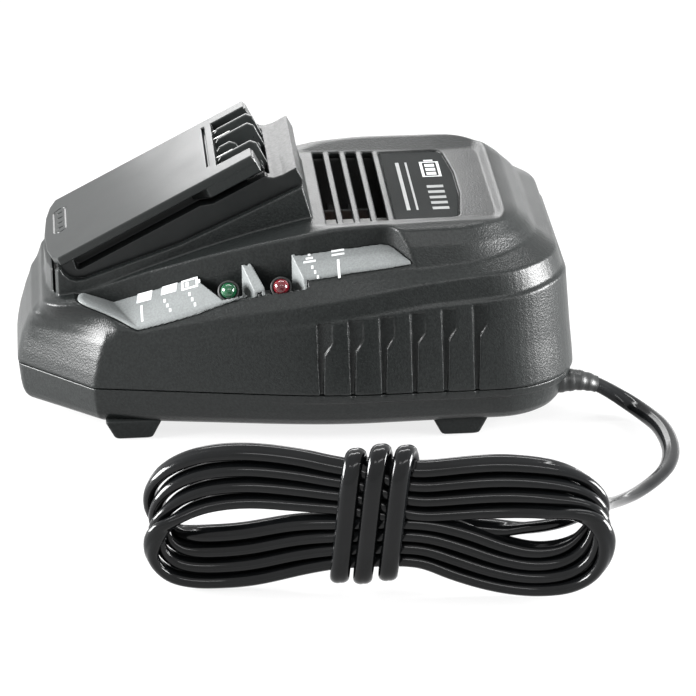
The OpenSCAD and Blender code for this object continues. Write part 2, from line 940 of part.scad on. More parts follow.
// ---- Cord entry ------------------------------------------------------------
// Saddle that presses the lead onto the lower housing
module cord_clamp() {
    color(dark_grey)
        difference() {
            translate([clamp_x - clamp_l / 2, exit_y - clamp_w / 2, base_z + 6.6])
                cube([clamp_l, clamp_w, clamp_h]);
            for (s = [-1, 1])
                translate([clamp_x, exit_y + s * clamp_screw_y, base_z])
                    cylinder(h = 20, r = post_screw_r + 0.1);
            translate([clamp_x - clamp_l / 2 - 1, exit_y, exit_z])
                rotate([0, 90, 0])
                    cylinder(h = clamp_l + 2, r = 3.4);
        }
}

module clamp_screws() {
    color(steel)
        for (s = [-1, 1])
            translate([clamp_x, exit_y + s * clamp_screw_y, base_z + 6.6 + clamp_h + 0.02])
                rotate([180, 0, 0])
                    pan_screw(post_screw_r, 10, 2.4, 1.8);
}

// Tapered sleeve through the rear wall, with a collar that the wall holds
module strain_relief() {
    color(black)
        translate([exit_x, exit_y, exit_z])
            rotate([0, 90, 0]) {
                translate([0, 0, -sleeve_in])
                    cylinder(h = sleeve_in - collar_in, r = 3.3);
                translate([0, 0, -collar_in])
                    cylinder(h = collar_l, r = collar_r);
                translate([0, 0, collar_l - collar_in])
                    cylinder(h = collar_in - collar_l + 1.4, r = sleeve_r);
                translate([0, 0, 1.4])
                    cylinder(h = sleeve_out - 1.4, r1 = sleeve_r, r2 = sleeve_tip_r);
            }
}

module cord_lead() {
    color(black)
        tube(lead_route, lead_r, lead_sides, 4);
}

// The wound part of the lead: a flat bundle with round ends, standing on its edge
module cord_hank() {
    color(black)
        translate([hank_mid[0], hank_mid[1], 0])
            rotate([0, 0, hank_turn])
                rotate([90, 0, 0])
                    linear_extrude(height = hank_t, center = true)
                        union() {
                            translate([hank_h / 2 - hank_l / 2, hank_h / 2])
                                circle(r = hank_h / 2);
                            translate([hank_l / 2 - hank_h / 2, hank_h / 2])
                                circle(r = hank_h / 2);
                            translate([hank_h / 2 - hank_l / 2, 2])
                                square([hank_l - hank_h, hank_h - 4]);
                        }
}

module cord_tail() {
    color(black)
        tube(tail_route, lead_r, lead_sides, 3);
}

// Flat two-pin plug body that lies behind the hank
module plug_body() {
    body_y = plug_tip_y - plug_pin_l;
    color(black) {
        translate([plug_mid_x, body_y, plug_z])
            rotate([90, 0, 0])
                linear_extrude(height = plug_body_l - 10)
                    plug_section(plug_half_w);
        translate([plug_mid_x, body_y - plug_body_l + 10, plug_z])
            rotate([90, 0, 0])
                linear_extrude(height = 10)
                    plug_section(plug_half_w - 4);
        translate([plug_mid_x, body_y - plug_body_l, plug_z])
            rotate([90, 0, 0])
                cylinder(h = plug_sleeve_l, r1 = 5, r2 = 3.4);
    }
}

module plug_section(half) {
    round_r = 3;
    hull_w = half - round_r;
    union() {
        square([2 * half, 2 * (plug_half_t - round_r)], center = true);
        square([2 * hull_w, 2 * plug_half_t], center = true);
        for (sx = [-1, 1], sy = [-1, 1])
            translate([sx * hull_w, sy * (plug_half_t - round_r)])
                circle(r = round_r);
    }
}

module plug_pins() {
    color(steel)
        for (s = [-1, 1])
            translate([plug_mid_x + s * pin_pitch / 2, plug_tip_y - plug_pin_l + 0.02, plug_z])
                rotate([-90, 0, 0]) {
                    cylinder(h = plug_pin_l - 1.5, r = pin_r);
                    translate([0, 0, plug_pin_l - 1.5])
                        cylinder(h = 1.5, r1 = pin_r, r2 = pin_r - 0.7);
                }
}

upper_housing();
lower_housing();
feet();
housing_screws();
battery_shoe();
rail_plate();
contact_holder();
positive_contact();
negative_contact();
signal_contacts();
led_panel();
green_lamp();
red_lamp();
lamp_boards();
lamp_chips();
lamp_wires();
label_plate();
circuit_board();
board_screws();
transformer_core();
transformer_winding();
mains_capacitor();
output_capacitors();
line_choke();
suppression_capacitor();
rectifier();
fuse();
heat_sink();
power_transistor();
control_chip();
mains_terminal();
contact_wires();
inner_lead();
cord_clamp();
clamp_screws();
strain_relief();
cord_lead();
cord_hank();
cord_tail();
plug_body();
plug_pins();
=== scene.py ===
"""Looks of the bench charger: housing, slide, lamps, label and mains lead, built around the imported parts."""
import itertools
import math

import bpy
import numpy as np
from mathutils import Matrix, Vector


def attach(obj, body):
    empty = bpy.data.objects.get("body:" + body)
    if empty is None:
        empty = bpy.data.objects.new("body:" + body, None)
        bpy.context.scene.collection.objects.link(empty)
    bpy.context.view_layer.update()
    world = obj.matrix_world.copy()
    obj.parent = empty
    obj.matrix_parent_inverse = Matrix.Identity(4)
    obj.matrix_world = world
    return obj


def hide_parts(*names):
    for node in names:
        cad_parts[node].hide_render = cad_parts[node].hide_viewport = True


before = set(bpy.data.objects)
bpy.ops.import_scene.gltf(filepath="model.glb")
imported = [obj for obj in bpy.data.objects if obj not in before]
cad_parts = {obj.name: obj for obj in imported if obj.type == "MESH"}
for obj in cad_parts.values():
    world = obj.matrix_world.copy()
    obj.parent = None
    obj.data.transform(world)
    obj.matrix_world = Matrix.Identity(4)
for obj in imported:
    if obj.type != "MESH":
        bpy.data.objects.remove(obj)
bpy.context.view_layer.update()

MM = 0.001


def mm(*v):
    """A point given in millimetres, as a vector in metres."""
    return Vector(v) * MM


# ---- Camera ------------------------------------------------------------------
IMAGE_SIDE = 696
FOCAL_PX = 4710
SENSOR_MM = 36
VIEW_UP, VIEW_TURN, VIEW_ROLL = math.radians(20.5), math.radians(-3.75), math.radians(1.0)
CAMERA_AT = mm(-77.8, -1489.6, 570.0)


def make_camera():
    back = Vector((math.sin(VIEW_TURN) * math.cos(VIEW_UP), -math.cos(VIEW_TURN) * math.cos(VIEW_UP),
                   math.sin(VIEW_UP)))
    level = Vector((math.cos(VIEW_TURN), math.sin(VIEW_TURN), 0))
    rise = back.cross(level)
    right = math.cos(VIEW_ROLL) * level - math.sin(VIEW_ROLL) * rise
    up = math.sin(VIEW_ROLL) * level + math.cos(VIEW_ROLL) * rise
    data = bpy.data.cameras.new("camera")
    data.sensor_width = SENSOR_MM
    data.lens = SENSOR_MM * FOCAL_PX / IMAGE_SIDE
    data.clip_start = 0.01
    camera = bpy.data.objects.new("camera", data)
    place = Matrix((right, up, back)).transposed().to_4x4()
    place.translation = CAMERA_AT
    camera.matrix_world = place
    bpy.context.scene.collection.objects.link(camera)
    bpy.context.scene.camera = camera


# ---- Materials ---------------------------------------------------------------
class Shader:
    """A short way to build one node material."""

    def __init__(self, name):
        self.material = bpy.data.materials.new(name)
        self.material.use_nodes = True
        self.tree = self.material.node_tree
        self.out = self.tree.nodes["Material Output"]
        self.skin = self.tree.nodes["Principled BSDF"]
        self.place = self.node("ShaderNodeTexCoord").outputs["Object"]

    def node(self, kind, **settings):
        made = self.tree.nodes.new(kind)
        for key, value in settings.items():
            setattr(made, key, value)
        return made

    def link(self, a, b):
        self.tree.links.new(a, b)

    def noise(self, scale, detail=2.0, rough=0.5, stretch=None):
        made = self.node("ShaderNodeTexNoise")
        made.inputs["Scale"].default_value = scale
        made.inputs["Detail"].default_value = detail
        made.inputs["Roughness"].default_value = rough
        self.link(self.stretched(stretch), made.inputs["Vector"])
        return made.outputs["Fac"]

    def cells(self, scale):
        made = self.node("ShaderNodeTexVoronoi", feature="F1")
        made.inputs["Scale"].default_value = scale
        self.link(self.place, made.inputs["Vector"])
        return made.outputs["Distance"]

    def stretched(self, stretch):
        if stretch is None:
            return self.place
        made = self.node("ShaderNodeMapping")
        made.inputs["Scale"].default_value = stretch
        self.link(self.place, made.inputs["Vector"])
        return made.outputs["Vector"]

    def spread(self, fac, low, high, out_low, out_high):
        made = self.node("ShaderNodeMapRange")
        for socket, value in zip(("From Min", "From Max", "To Min", "To Max"), (low, high, out_low, out_high)):
            made.inputs[socket].default_value = value
        self.link(fac, made.inputs["Value"])
        return made.outputs["Result"]

    def shades(self, fac, dark, light, low=0.35, high=0.65):
        made = self.node("ShaderNodeMix", data_type="RGBA")
        self.link(self.spread(fac, low, high, 0, 1), made.inputs[0])
        made.inputs[6].default_value = (*dark, 1)
        made.inputs[7].default_value = (*light, 1)
        return made.outputs[2]

    def colour(self, source):
        self.link(source, self.skin.inputs["Base Color"])

    def roughness(self, fac, low, high):
        self.link(self.spread(fac, 0.3, 0.7, low, high), self.skin.inputs["Roughness"])

    def bump(self, *layers):
        """Layers of (height, depth in millimetres), stacked into the surface normal."""
        normal = None
        for height, depth in layers:
            made = self.node("ShaderNodeBump")
            made.inputs["Distance"].default_value = depth * MM
            self.link(height, made.inputs["Height"])
            if normal:
                self.link(normal, made.inputs["Normal"])
            normal = made.outputs["Normal"]
        self.link(normal, self.skin.inputs["Normal"])

    def set(self, **sockets):
        for key, value in sockets.items():
            self.skin.inputs[key.replace("_", " ")].default_value = value


def grained_plastic(name, dark, light, rough, grain_mm=0.45, depth=0.05, specular=0.5):
    """Moulded plastic with a fine spark-eroded grain."""
    s = Shader(name)
    grain = s.noise(1 / (grain_mm * MM), 3, 0.6)
    blotch = s.noise(60, 3, 0.55)
    s.colour(s.shades(s.noise(1 / (grain_mm * 1.6 * MM), 2, 0.5), dark, light))
    s.roughness(blotch, rough - 0.02, rough + 0.02)
    s.bump((s.cells(1 / (grain_mm * 1.3 * MM)), depth * 0.7), (grain, depth))
    s.set(Specular_IOR_Level=specular)
    return s.material


def smooth_plastic(name, dark, light, rough, depth=0.01, specular=0.5):
    """Moulded plastic with a satin face and faint flow marks."""
    s = Shader(name)
    flow = s.noise(90, 4, 0.6, (1, 2.2, 1))
    s.colour(s.shades(flow, dark, light))
    s.roughness(s.noise(900, 3, 0.6), rough - 0.05, rough + 0.06)
    s.bump((s.noise(2600, 2, 0.5), depth))
    s.set(Specular_IOR_Level=specular)
    return s.material


def metal(name, dark, light, rough, stretch=(1, 1, 12)):
    s = Shader(name)
    s.set(Metallic=1.0)
    lines = s.noise(900, 4, 0.6, stretch)
    s.colour(s.shades(lines, dark, light))
    s.roughness(lines, rough - 0.06, rough + 0.08)
    s.bump((lines, 0.004))
    return s.material


def lens_plastic(name, dark, light):
    """Tinted clear plastic of a lamp's dome."""
    s = Shader(name)
    s.colour(s.shades(s.noise(300, 2, 0.5), dark, light))
    s.roughness(s.noise(700, 2, 0.5), 0.04, 0.10)
    s.bump((s.noise(1500, 2, 0.5), 0.004))
    s.set(Transmission_Weight=0.25, Coat_Weight=0.6, Coat_Roughness=0.03)
    return s.material


MATERIALS = {
    "housing": grained_plastic("charcoal_grain", (0.004, 0.005, 0.005), (0.0105, 0.0125, 0.0122), 0.36, 0.5, 0.07,
                               0.34),
    "slide": grained_plastic("slide_satin", (0.009, 0.0105, 0.0105), (0.012, 0.014, 0.0135), 0.32, 0.4, 0.010, 0.4),
    "shoe": smooth_plastic("shoe_dark", (0.005, 0.006, 0.006), (0.008, 0.009, 0.009), 0.36, 0.01, 0.3),
    "panel": grained_plastic("panel_grain", (0.150, 0.160, 0.160), (0.190, 0.203, 0.203), 0.5, 0.35, 0.03),
    # Darker, rougher plastic of the vent duct: painted shade in the vent openings.
    "dark": smooth_plastic("vent_shade_plastic", (0.004, 0.0045, 0.0045), (0.007, 0.0075, 0.0075), 0.7),
    "ring": smooth_plastic("ring_black", (0.003, 0.0033, 0.0033), (0.005, 0.0055, 0.0055), 0.5),
    "ribs": smooth_plastic("rib_satin", (0.014, 0.016, 0.016), (0.020, 0.023, 0.022), 0.32),
    "label": grained_plastic("label_face", (0.008, 0.0095, 0.0095), (0.014, 0.016, 0.016), 0.75, 0.3, 0.03, 0.12),
    "ink": smooth_plastic("white_ink", (0.66, 0.68, 0.68), (0.72, 0.74, 0.74), 0.4, 0.003),
    "ink_soft": smooth_plastic("grey_ink", (0.22, 0.23, 0.23), (0.26, 0.27, 0.27), 0.4, 0.003),
    "rubber": grained_plastic("foot_rubber", (0.005, 0.006, 0.006), (0.010, 0.0115, 0.0115), 0.6, 0.5, 0.03, 0.2),
    "green_lens": lens_plastic("green_lens_glass", (0.0, 0.055, 0.017), (0.0, 0.100, 0.032)),
    "red_lens": lens_plastic("red_lens_glass", (0.085, 0.001, 0.005), (0.15, 0.003, 0.009)),
    "lead": smooth_plastic("lead_gloss", (0.004, 0.0045, 0.005), (0.006, 0.0065, 0.007), 0.13, 0.004, 0.26),
    "plug": grained_plastic("plug_satin", (0.006, 0.007, 0.007), (0.010, 0.011, 0.011), 0.38, 0.4, 0.02),
    "board": smooth_plastic("board_laminate", (0.020, 0.075, 0.030), (0.030, 0.100, 0.042), 0.45),
    "tinned": metal("tinned_metal", (0.55, 0.55, 0.53), (0.70, 0.70, 0.68), 0.28),
    "steel": metal("core_steel", (0.22, 0.22, 0.22), (0.32, 0.32, 0.31), 0.40),
    "copper": metal("winding_copper", (0.42, 0.16, 0.07), (0.60, 0.26, 0.12), 0.34, (1, 12, 1)),
    "aluminium": metal("drawn_aluminium", (0.50, 0.51, 0.52), (0.66, 0.67, 0.68), 0.32),
    "sleeve": smooth_plastic("capacitor_sleeve", (0.012, 0.014, 0.030), (0.018, 0.022, 0.045), 0.30),
    "film": smooth_plastic("film_resin", (0.30, 0.17, 0.03), (0.40, 0.24, 0.05), 0.35),
    "glass": smooth_plastic("fuse_glass", (0.55, 0.56, 0.52), (0.65, 0.66, 0.62), 0.12),
    "resin": smooth_plastic("black_resin", (0.006, 0.006, 0.006), (0.010, 0.010, 0.010), 0.42),
    "wire": smooth_plastic("wire_jacket", (0.16, 0.015, 0.012), (0.22, 0.022, 0.018), 0.38),
    "chip": smooth_plastic("light_chip", (0.60, 0.58, 0.40), (0.70, 0.68, 0.50), 0.30),
}
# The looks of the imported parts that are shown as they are
NODE_LOOKS = {
    "housing_screws": "steel", "board_screws": "steel", "clamp_screws": "steel", "positive_contact": "tinned",
    "negative_contact": "tinned", "signal_contacts": "tinned", "lamp_chips": "chip", "circuit_board": "board",
    "transformer_core": "steel", "transformer_winding": "copper", "mains_capacitor": "sleeve",
    "output_capacitors": "sleeve", "line_choke": "copper", "suppression_capacitor": "film", "rectifier": "resin",
    "fuse": "glass", "heat_sink": "aluminium", "power_transistor": "resin", "control_chip": "resin",
    "mains_terminal": "resin", "contact_wires": "wire", "inner_lead": "lead", "cord_clamp": "resin",
    "plug_body": "plug", "plug_pins": "tinned",
}


# ---- Solids from distance fields -------------------------------------------
# A field is negative inside a solid and positive outside, in millimetres. The surface where it
# is zero becomes a mesh of small quads, so every edge can be rounded as a moulding's edge is.
def joined(a, b, r):
    """The union of two fields, with a fillet."""
    h = np.clip(0.5 + 0.5 * (b - a) / r, 0, 1)
    return b * (1 - h) + a * h - r * h * (1 - h)


def common(a, b, r):
    """Where two fields overlap, with a rounded edge."""
    return -joined(-a, -b, r)


def without(a, b, r):
    """The first field with the second cut out of it."""
    return -joined(-a, b, r)


def outline_field(points, u, v):
    """Distance to a closed outline over a grid of u and v, negative inside."""
    u, v = np.broadcast_arrays(u, v)
    near = np.full(u.shape, 1e9, np.float32)
    inside = np.zeros(u.shape, bool)
    n = len(points)
    for i in range(n):
        (ax, ay), (bx, by) = points[i], points[(i + 1) % n]
        ex, ey = bx - ax, by - ay
        wx, wy = u - ax, v - ay
        t = np.clip((wx * ex + wy * ey) / max(ex * ex + ey * ey, 1e-12), 0, 1)
        near = np.minimum(near, (wx - ex * t) ** 2 + (wy - ey * t) ** 2)
        crosses = (ay > v) != (by > v)
        with np.errstate(divide="ignore", invalid="ignore"):
            inside ^= crosses & (u < ex * (v - ay) / (ey if ey else 1e-12) + ax)
    return np.where(inside, -np.sqrt(near), np.sqrt(near)).astype(np.float32)


def net(field, lo, step):
    """Points and quads of the surface where the field is zero."""
    s = field < 0
    corners = list(itertools.product((0, 1), repeat=3))
    nx, ny, nz = (n - 1 for n in field.shape)
    count = np.zeros((nx, ny, nz), np.int8)
    for i, j, k in corners:
        count += s[i:nx + i, j:ny + j, k:nz + k]
    cells = np.argwhere((count > 0) & (count < 8))
    number = np.full((nx, ny, nz), -1, np.int32)
    number[tuple(cells.T)] = np.arange(len(cells))
    values = {c: field[tuple((cells + c).T)] for c in corners}
    total = np.zeros((len(cells), 3), np.float32)
    hits = np.zeros(len(cells), np.float32)
    for a in corners:
        for axis in range(3):
            if a[axis]:
                continue
            b = tuple(1 if n == axis else a[n] for n in range(3))
            fa, fb = values[a], values[b]
            cross = (fa < 0) != (fb < 0)
            t = np.where(cross, fa / np.where(cross, fa - fb, 1), 0)
            for n in range(3):
                total[:, n] += np.where(cross, a[n] + (t if n == axis else 0), 0)
            hits += cross
    points = (cells + total / hits[:, None]) * step + lo
    quads = []
    for axis in range(3):
        p, q = (axis + 1) % 3, (axis + 2) % 3
        near = [slice(None)] * 3
        far = [slice(None)] * 3
        near[axis], far[axis] = slice(0, -1), slice(1, None)
        cross = s[tuple(near)] != s[tuple(far)]
        edges = np.argwhere(cross)
        keep = (edges[:, p] > 0) & (edges[:, q] > 0) & (edges[:, p] < number.shape[p]) & \
            (edges[:, q] < number.shape[q])
        edges = edges[keep]
        solid_near = s[tuple(edges.T)]
        ring = []
        for dp, dq in ((-1, -1), (0, -1), (0, 0), (-1, 0)):
            c = edges.copy()
            c[:, p] += dp
            c[:, q] += dq
            ring.append(number[tuple(c.T)])
        ring = np.stack(ring, 1)
        ring[~solid_near] = ring[~solid_near][:, ::-1]
        quads.append(ring)
    return points, np.concatenate(quads)


def around(points, field, lo, step):
    """The eight grid values around each point, with the corner each is at and its weight along x, y and z."""
    g = (points - lo) / step
    base = np.clip(np.floor(g).astype(int), 0, np.array(field.shape) - 2)
    f = (g - base).astype(np.float32)
    for corner_at in itertools.product((0, 1), repeat=3):
        weights = [f[:, n] if o else 1 - f[:, n] for n, o in enumerate(corner_at)]
        yield field[tuple((base + corner_at).T)], corner_at, weights


def settled(points, field, lo, step, rounds=2):
    """Moves points onto the field's zero surface."""
    for _ in range(rounds):
        value, slope = 0, np.zeros((len(points), 3), np.float32)
        for c, at, (wx, wy, wz) in around(points, field, lo, step):
            value = value + c * wx * wy * wz
            for n, (wa, wb) in enumerate(((wy, wz), (wx, wz), (wx, wy))):
                slope[:, n] += (1 if at[n] else -1) * c * wa * wb
        slope /= step
        move = value[:, None] * slope / np.maximum((slope ** 2).sum(1, keepdims=True), 0.05)
        points = points - np.clip(move, -0.5 * step, 0.5 * step)
    return points


def mesh_object(name, points, faces, material, smooth=True):
    """An object from points in metres and faces of any one size."""
    mesh = bpy.data.meshes.new(name)
    faces = np.asarray(faces)
    sides = faces.shape[1]
    mesh.vertices.add(len(points))
    mesh.vertices.foreach_set("co", np.asarray(points, np.float32).ravel())
    mesh.loops.add(faces.size)
    mesh.loops.foreach_set("vertex_index", faces.ravel().astype(np.int32))
    mesh.polygons.add(len(faces))
    mesh.polygons.foreach_set("loop_start", np.arange(0, faces.size, sides, dtype=np.int32))
    mesh.polygons.foreach_set("use_smooth", np.full(len(faces), smooth))
    mesh.update(calc_edges=True)
    mesh.validate()
    mesh.materials.append(material)
    made = bpy.data.objects.new(name, mesh)
    bpy.context.scene.collection.objects.link(made)
    return made


def field_slope(points, field, lo, step):
    """Direction of the field's slope at points: the normal of the surface there."""
    slopes = []
    for reach in np.eye(3) * 0.6 * step:
        ahead, behind = (sum(c * wx * wy * wz for c, _, (wx, wy, wz) in around(points + side, field, lo, step))
                         for side in (reach, -reach))
        slopes.append(ahead - behind)
    slope = np.stack(slopes, 1)
    return slope / np.maximum(np.linalg.norm(slope, axis=1, keepdims=True), 1e-9)


def belongs(piece, slot, *nodes):
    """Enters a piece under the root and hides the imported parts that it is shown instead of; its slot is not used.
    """
    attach(piece, "root")
    if nodes:
        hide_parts(*nodes)


def thinned(made, share):
    """Gives up triangles until a share is left; flat parts give theirs up first."""
    thin = made.modifiers.new("thin", "DECIMATE")
    thin.ratio = share
    bpy.context.view_layer.update()
    mesh = bpy.data.meshes.new_from_object(made.evaluated_get(bpy.context.evaluated_depsgraph_get()))
    made.modifiers.clear()
    old, made.data = made.data, mesh
    bpy.data.meshes.remove(old)
    mesh.name = made.name


def moulded(name, shape, lo, hi, step, keep, look, slot, *nodes, place=None):
    """A piece from shape(x, y, z), a field over a box in millimetres, set into the frame by place.
    keep is the share of its triangles that stays."""
    step *= 1
    lo = np.array(lo, float)
    axes = [np.arange(lo[n], hi[n] + step, step, dtype=np.float32) for n in range(3)]
    x, y, z = axes[0][:, None, None], axes[1][None, :, None], axes[2][None, None, :]
    field = np.ascontiguousarray(np.broadcast_to(shape(x, y, z), [len(a) for a in axes]), np.float32)
    points, quads = net(field, lo, step)
    points = settled(points, field, lo, step)
    made = mesh_object(name, points * MM, quads, MATERIALS[look])
    thinned(made, keep)
    mesh = made.data
    flat = np.empty(len(mesh.vertices) * 3, np.float32)
    mesh.vertices.foreach_get("co", flat)
    points = flat.reshape(-1, 3) / MM
    normals = field_slope(points, field, lo, step)
    if place is not None:
        normals = place(points + normals) - place(points)
        mesh.vertices.foreach_set("co", (place(points) * MM).astype(np.float32).ravel())
        mesh.update()
    mesh.normals_split_custom_set_from_vertices(normals.tolist())
    belongs(made, slot, *nodes)


def block(x, y, z, x0, x1, y0, y1, z0, z1, r=0.3):
    """Field of a box with rounded edges."""
    a = common(np.maximum(x0 - x, x - x1), np.maximum(y0 - y, y - y1), r)
    return common(a, np.maximum(z0 - z, z - z1), r)


# ---- Housing -----------------------------------------------------------------
RIM_Z, BASE_Z, DECK_Z, WALL, GAP = 18.5, 5.2, 72.0, 2.5, 0.15
NOSE_X, REAR_X = -92.0, 92.0
BULGE_X, BULGE_R = 10, 150
# nose x, nose half width, crease x, crease half width, bulge half width, rear x, rear half width,
# and the radii at the nose, crease and rear corner
LEVELS = {
    "rim": (NOSE_X + 0.4, 18.2, -67, 46.2, 62.6, REAR_X, 61.8, 6, 3, 27),
    "low_belly": (NOSE_X + 0.9, 18.4, -66.2, 46.2, 62.3, REAR_X - 0.3, 61.5, 8, 3, 27),
    "high_belly": (NOSE_X + 2.0, 18.8, -65.0, 46.0, 61.7, REAR_X - 1.0, 60.9, 8, 3, 27),
    "side": (NOSE_X + 3.7, 20.6, -63.4, 45.6, 60.6, REAR_X - 2.2, 59.8, 8, 3, 26),
    "ledge": (NOSE_X + 4.1, 21.4, -62.8, 45.5, 60.3, REAR_X - 3.6, 58.4, 8, 3, 25),
    "band": (NOSE_X + 5.8, 26, -59.0, 45.9, 59.4, REAR_X - 4.9, 58.2, 9, 4, 27),
    "shoulder": (NOSE_X + 8.6, 32.2, -52, 46.4, 55.5, REAR_X - 11.2, 54.0, 10, 5, 27),
    "swell": (NOSE_X + 9.6, 35.4, -58, 43.6, 53.4, REAR_X - 13.6, 51.9, 10, 6, 27),
    "roll": (NOSE_X + 11.6, 36.2, -66, 40.2, 50.6, REAR_X - 17.4, 49.0, 10, 7, 24),
    "crest": (NOSE_X + 14.2, 36.4, -68, 37.6, 46.8, REAR_X - 23.5, 45.6, 8, 7, 12),
}
CURVES = {
    "low_belly": ((-92, 23), (93, 24)),
    "high_belly": ((-92, 28), (-55, 28.5), (93, 33)),
    "side": ((-92, 33), (-64, 33.5), (-55, 34), (0, 41), (43, 47.3), (58, 48.2), (72, 49.4), (93, 52)),
    "ledge": ((-92, 34), (-64, 34.5), (-55, 35), (0, 42), (43, 48.2), (58, 49.1), (72, 50.3), (93, 52.9)),
    "band": ((-92, 38), (-55, 38.4), (0, 47.8), (17, 50.8), (40, 54.6), (59, 56.7), (79, 57.9), (93, 58.8)),
    "shoulder": ((-92, 41.6), (-71, 41.8), (-52, 40.8), (-31, 45.6), (-15, 49.8), (1, 53.8), (17, 56.6),
                 (33, 58.3), (60, 60.3), (79, 62.7), (93, 63.4)),
    "swell": ((-92, 43.8), (-71, 44.0), (-52, 46.4), (-30, 53.2), (-8, 59.6), (12, 64.2), (28, 65.6), (60, 66),
              (79, 66)),
    "roll": ((-92, 45.0), (-71, 45.2), (-52, 51.4), (-30, 58.8), (-8, 65.2), (12, 69.4), (28, 70.6), (64, 70.6),
             (79, 69)),
    "crest": ((-92, 46), (-74, 46), (-63, 49), (-48.5, 54.2), (-30, 60.3), (-13.7, 65), (4, 69.2), (12, 70.7),
              (28, DECK_Z), (93, DECK_Z)),
}
# Dished deck between its raised edges: x and half width along each side
DISH_Z, DISH_END_X, DISH_SLOPE, DISH_END_SLOPE = 69.5, 66.6, 0.235, 0.95
DISH, DISH_R = ((8, 38.4), (66.6, 34.2)), 2.4


def corner(p, c, n, r, steps):
    """Points of the arc that rounds the corner at c between the directions to p and n."""
    p, c, n = (np.array(v, float) for v in (p, c, n))
    a = (p - c) / np.linalg.norm(p - c)
    b = (n - c) / np.linalg.norm(n - c)
    half = math.acos(np.clip(a @ b, -1, 1)) / 2
    start = c + a * r / math.tan(half)
    bisector = (a + b) / np.linalg.norm(a + b)
    centre = c + bisector * r / math.sin(half)
    first = math.atan2(start[1] - centre[1], start[0] - centre[0])
    turn = (-1 if a[0] * b[1] - a[1] * b[0] > 0 else 1) * (math.pi - 2 * half)
    return [tuple(centre + r * np.array((math.cos(first + turn * i / steps), math.sin(first + turn * i / steps))))
            for i in range(steps + 1)]


def level_outline(v, t=0.0):
    """The closed outline of one level, drawn in by t."""
    nose = (v[0] + t, v[1] - 0.4 * t)
    crease = (v[2] + 0.5 * t, v[3] - t)
    bulge = (BULGE_X, v[4] - t)
    rear = (v[5] - t, v[6] - t)
    half = [(v[0] + t, 0)] + corner((nose[0], 0), nose, crease, max(v[7] - t, 1), 8) \
        + corner(nose, crease, bulge, max(v[8] - t, 1), 8) \
        + corner(crease, bulge, rear, BULGE_R, 12) \
        + corner(bulge, rear, (rear[0], 0), max(v[9] - t, 1), 16) + [(rear[0], 0)]
    return half + [(x, -y) for x, y in reversed(half[1:-1])]


def eased(points, x, width=7.0):
    """Height of a curve at x, with its bends rounded over a width."""
    fine = np.arange(-110, 111, 0.5)
    z = np.interp(fine, *np.array(points, float).T)
    n = int(width / 0.5) | 1
    kernel = np.ones(n) / n
    for _ in range(2):
        z = np.convolve(np.pad(z, n // 2, mode="edge"), kernel, "valid")
    return np.interp(x, fine, z).astype(np.float32)


def softened(table, step, width):
    """Rounds a table of weights over a height, so that the creases between levels get a radius."""
    n = max(int(round(width / step)), 1) | 1
    pad = np.pad(table, ((0, 0), (n // 2, n // 2)), mode="edge")
    total = np.cumsum(np.pad(pad, ((0, 0), (1, 0))), axis=1, dtype=np.float64)
    return ((total[:, n:] - total[:, :-n]) / n).astype(np.float32)


def side_field(x, y, z):
    """The walls of the closed upper form: its levels, ruled between their heights."""
    names = list(LEVELS)
    xs, zs = x[:, 0, 0], z[0, 0, :]
    step = float(zs[1] - zs[0])
    heights = [np.full_like(xs, RIM_Z + 0.5)] + [eased(CURVES[n], xs) for n in names[1:]]
    side = np.zeros((x.shape[0], y.shape[1], z.shape[2]), np.float32)
    lean = np.zeros_like(side)
    for k, name in enumerate(names):
        plan = outline_field(level_outline(LEVELS[name]), x[:, :, 0], y[:, :, 0])
        weight = np.ones((len(xs), len(zs)), np.float32)
        if k > 0:
            low = heights[k - 1][:, None]
            weight = np.minimum(weight, np.clip((zs - low) / np.maximum(heights[k][:, None] - low, 0.1), 0, 1))
        if k < len(names) - 1:
            top = heights[k + 1][:, None]
            weight = np.minimum(weight, np.clip((top - zs) / np.maximum(top - heights[k][:, None], 0.1), 0, 1))
        weight = softened(weight, step, 1.3)
        side += weight[:, None, :] * plan[:, :, None]
        lean += np.gradient(weight, step, axis=1)[:, None, :] * plan[:, :, None]
    return side / np.sqrt(1 + np.minimum(lean, 3) ** 2)


def top_field(x, y, z):
    """The top of the housing: the crest, with the dished deck in it."""
    crest = eased(CURVES["crest"], x[:, 0, 0], 5)[:, None, None]
    lean = np.sqrt(1 + np.gradient(crest[:, 0, 0], x[:, 0, 0]) ** 2)[:, None, None]
    half = np.interp(x, *np.array(DISH, float).T)
    ramp = -joined(-(np.abs(y) - half) * DISH_SLOPE, -(x - DISH_END_X) * DISH_END_SLOPE, DISH_R)
    ramp = ramp - DISH_R / 4 * np.clip((x - DISH_END_X + 14) / 14, 0, 1)
    dish = DISH_Z - joined(-ramp, np.zeros_like(ramp), 0.3)
    height = joined(crest, np.where(x > 0, dish, DECK_Z + 5), 0.4)
    return ((z - height) / lean).astype(np.float32)


def upper_field(x, y, z):
    return common(side_field(x, y, z), top_field(x, y, z), 1.3)


# ---- Battery slide -----------------------------------------------------------
SLIDE_X, SLIDE_Z = -75, 59.6
TILT = math.radians(27.1)
RAIL_T, NECK_W = 3, 46
SHOE_HALF, COLLAR_HALF = 28.6, 31.5
# Side view of the seam between collar and shoe, from under the nose of the slide to the end stop
SEAM = ((-77.2, 58.4), (-76.4, 55.6), (-75.2, 53.2), (-73.4, 51.6), (-71.2, 50.9), (-68.3, 51.2), (-36.7, 62.0),
        (3.9, 80.5))
STOP_BACK, DECK_IN_X = (6.8, 70), 7.4
# Nose of the slide in plan: distance in front of its origin and half width
NOSE = ((-2.4, 30), (-4.6, 25), (-6.2, 16), (-7.0, 0))


def slide_point(u, w):
    return (SLIDE_X + u * math.cos(TILT) - w * math.sin(TILT), SLIDE_Z + u * math.sin(TILT) + w * math.cos(TILT))


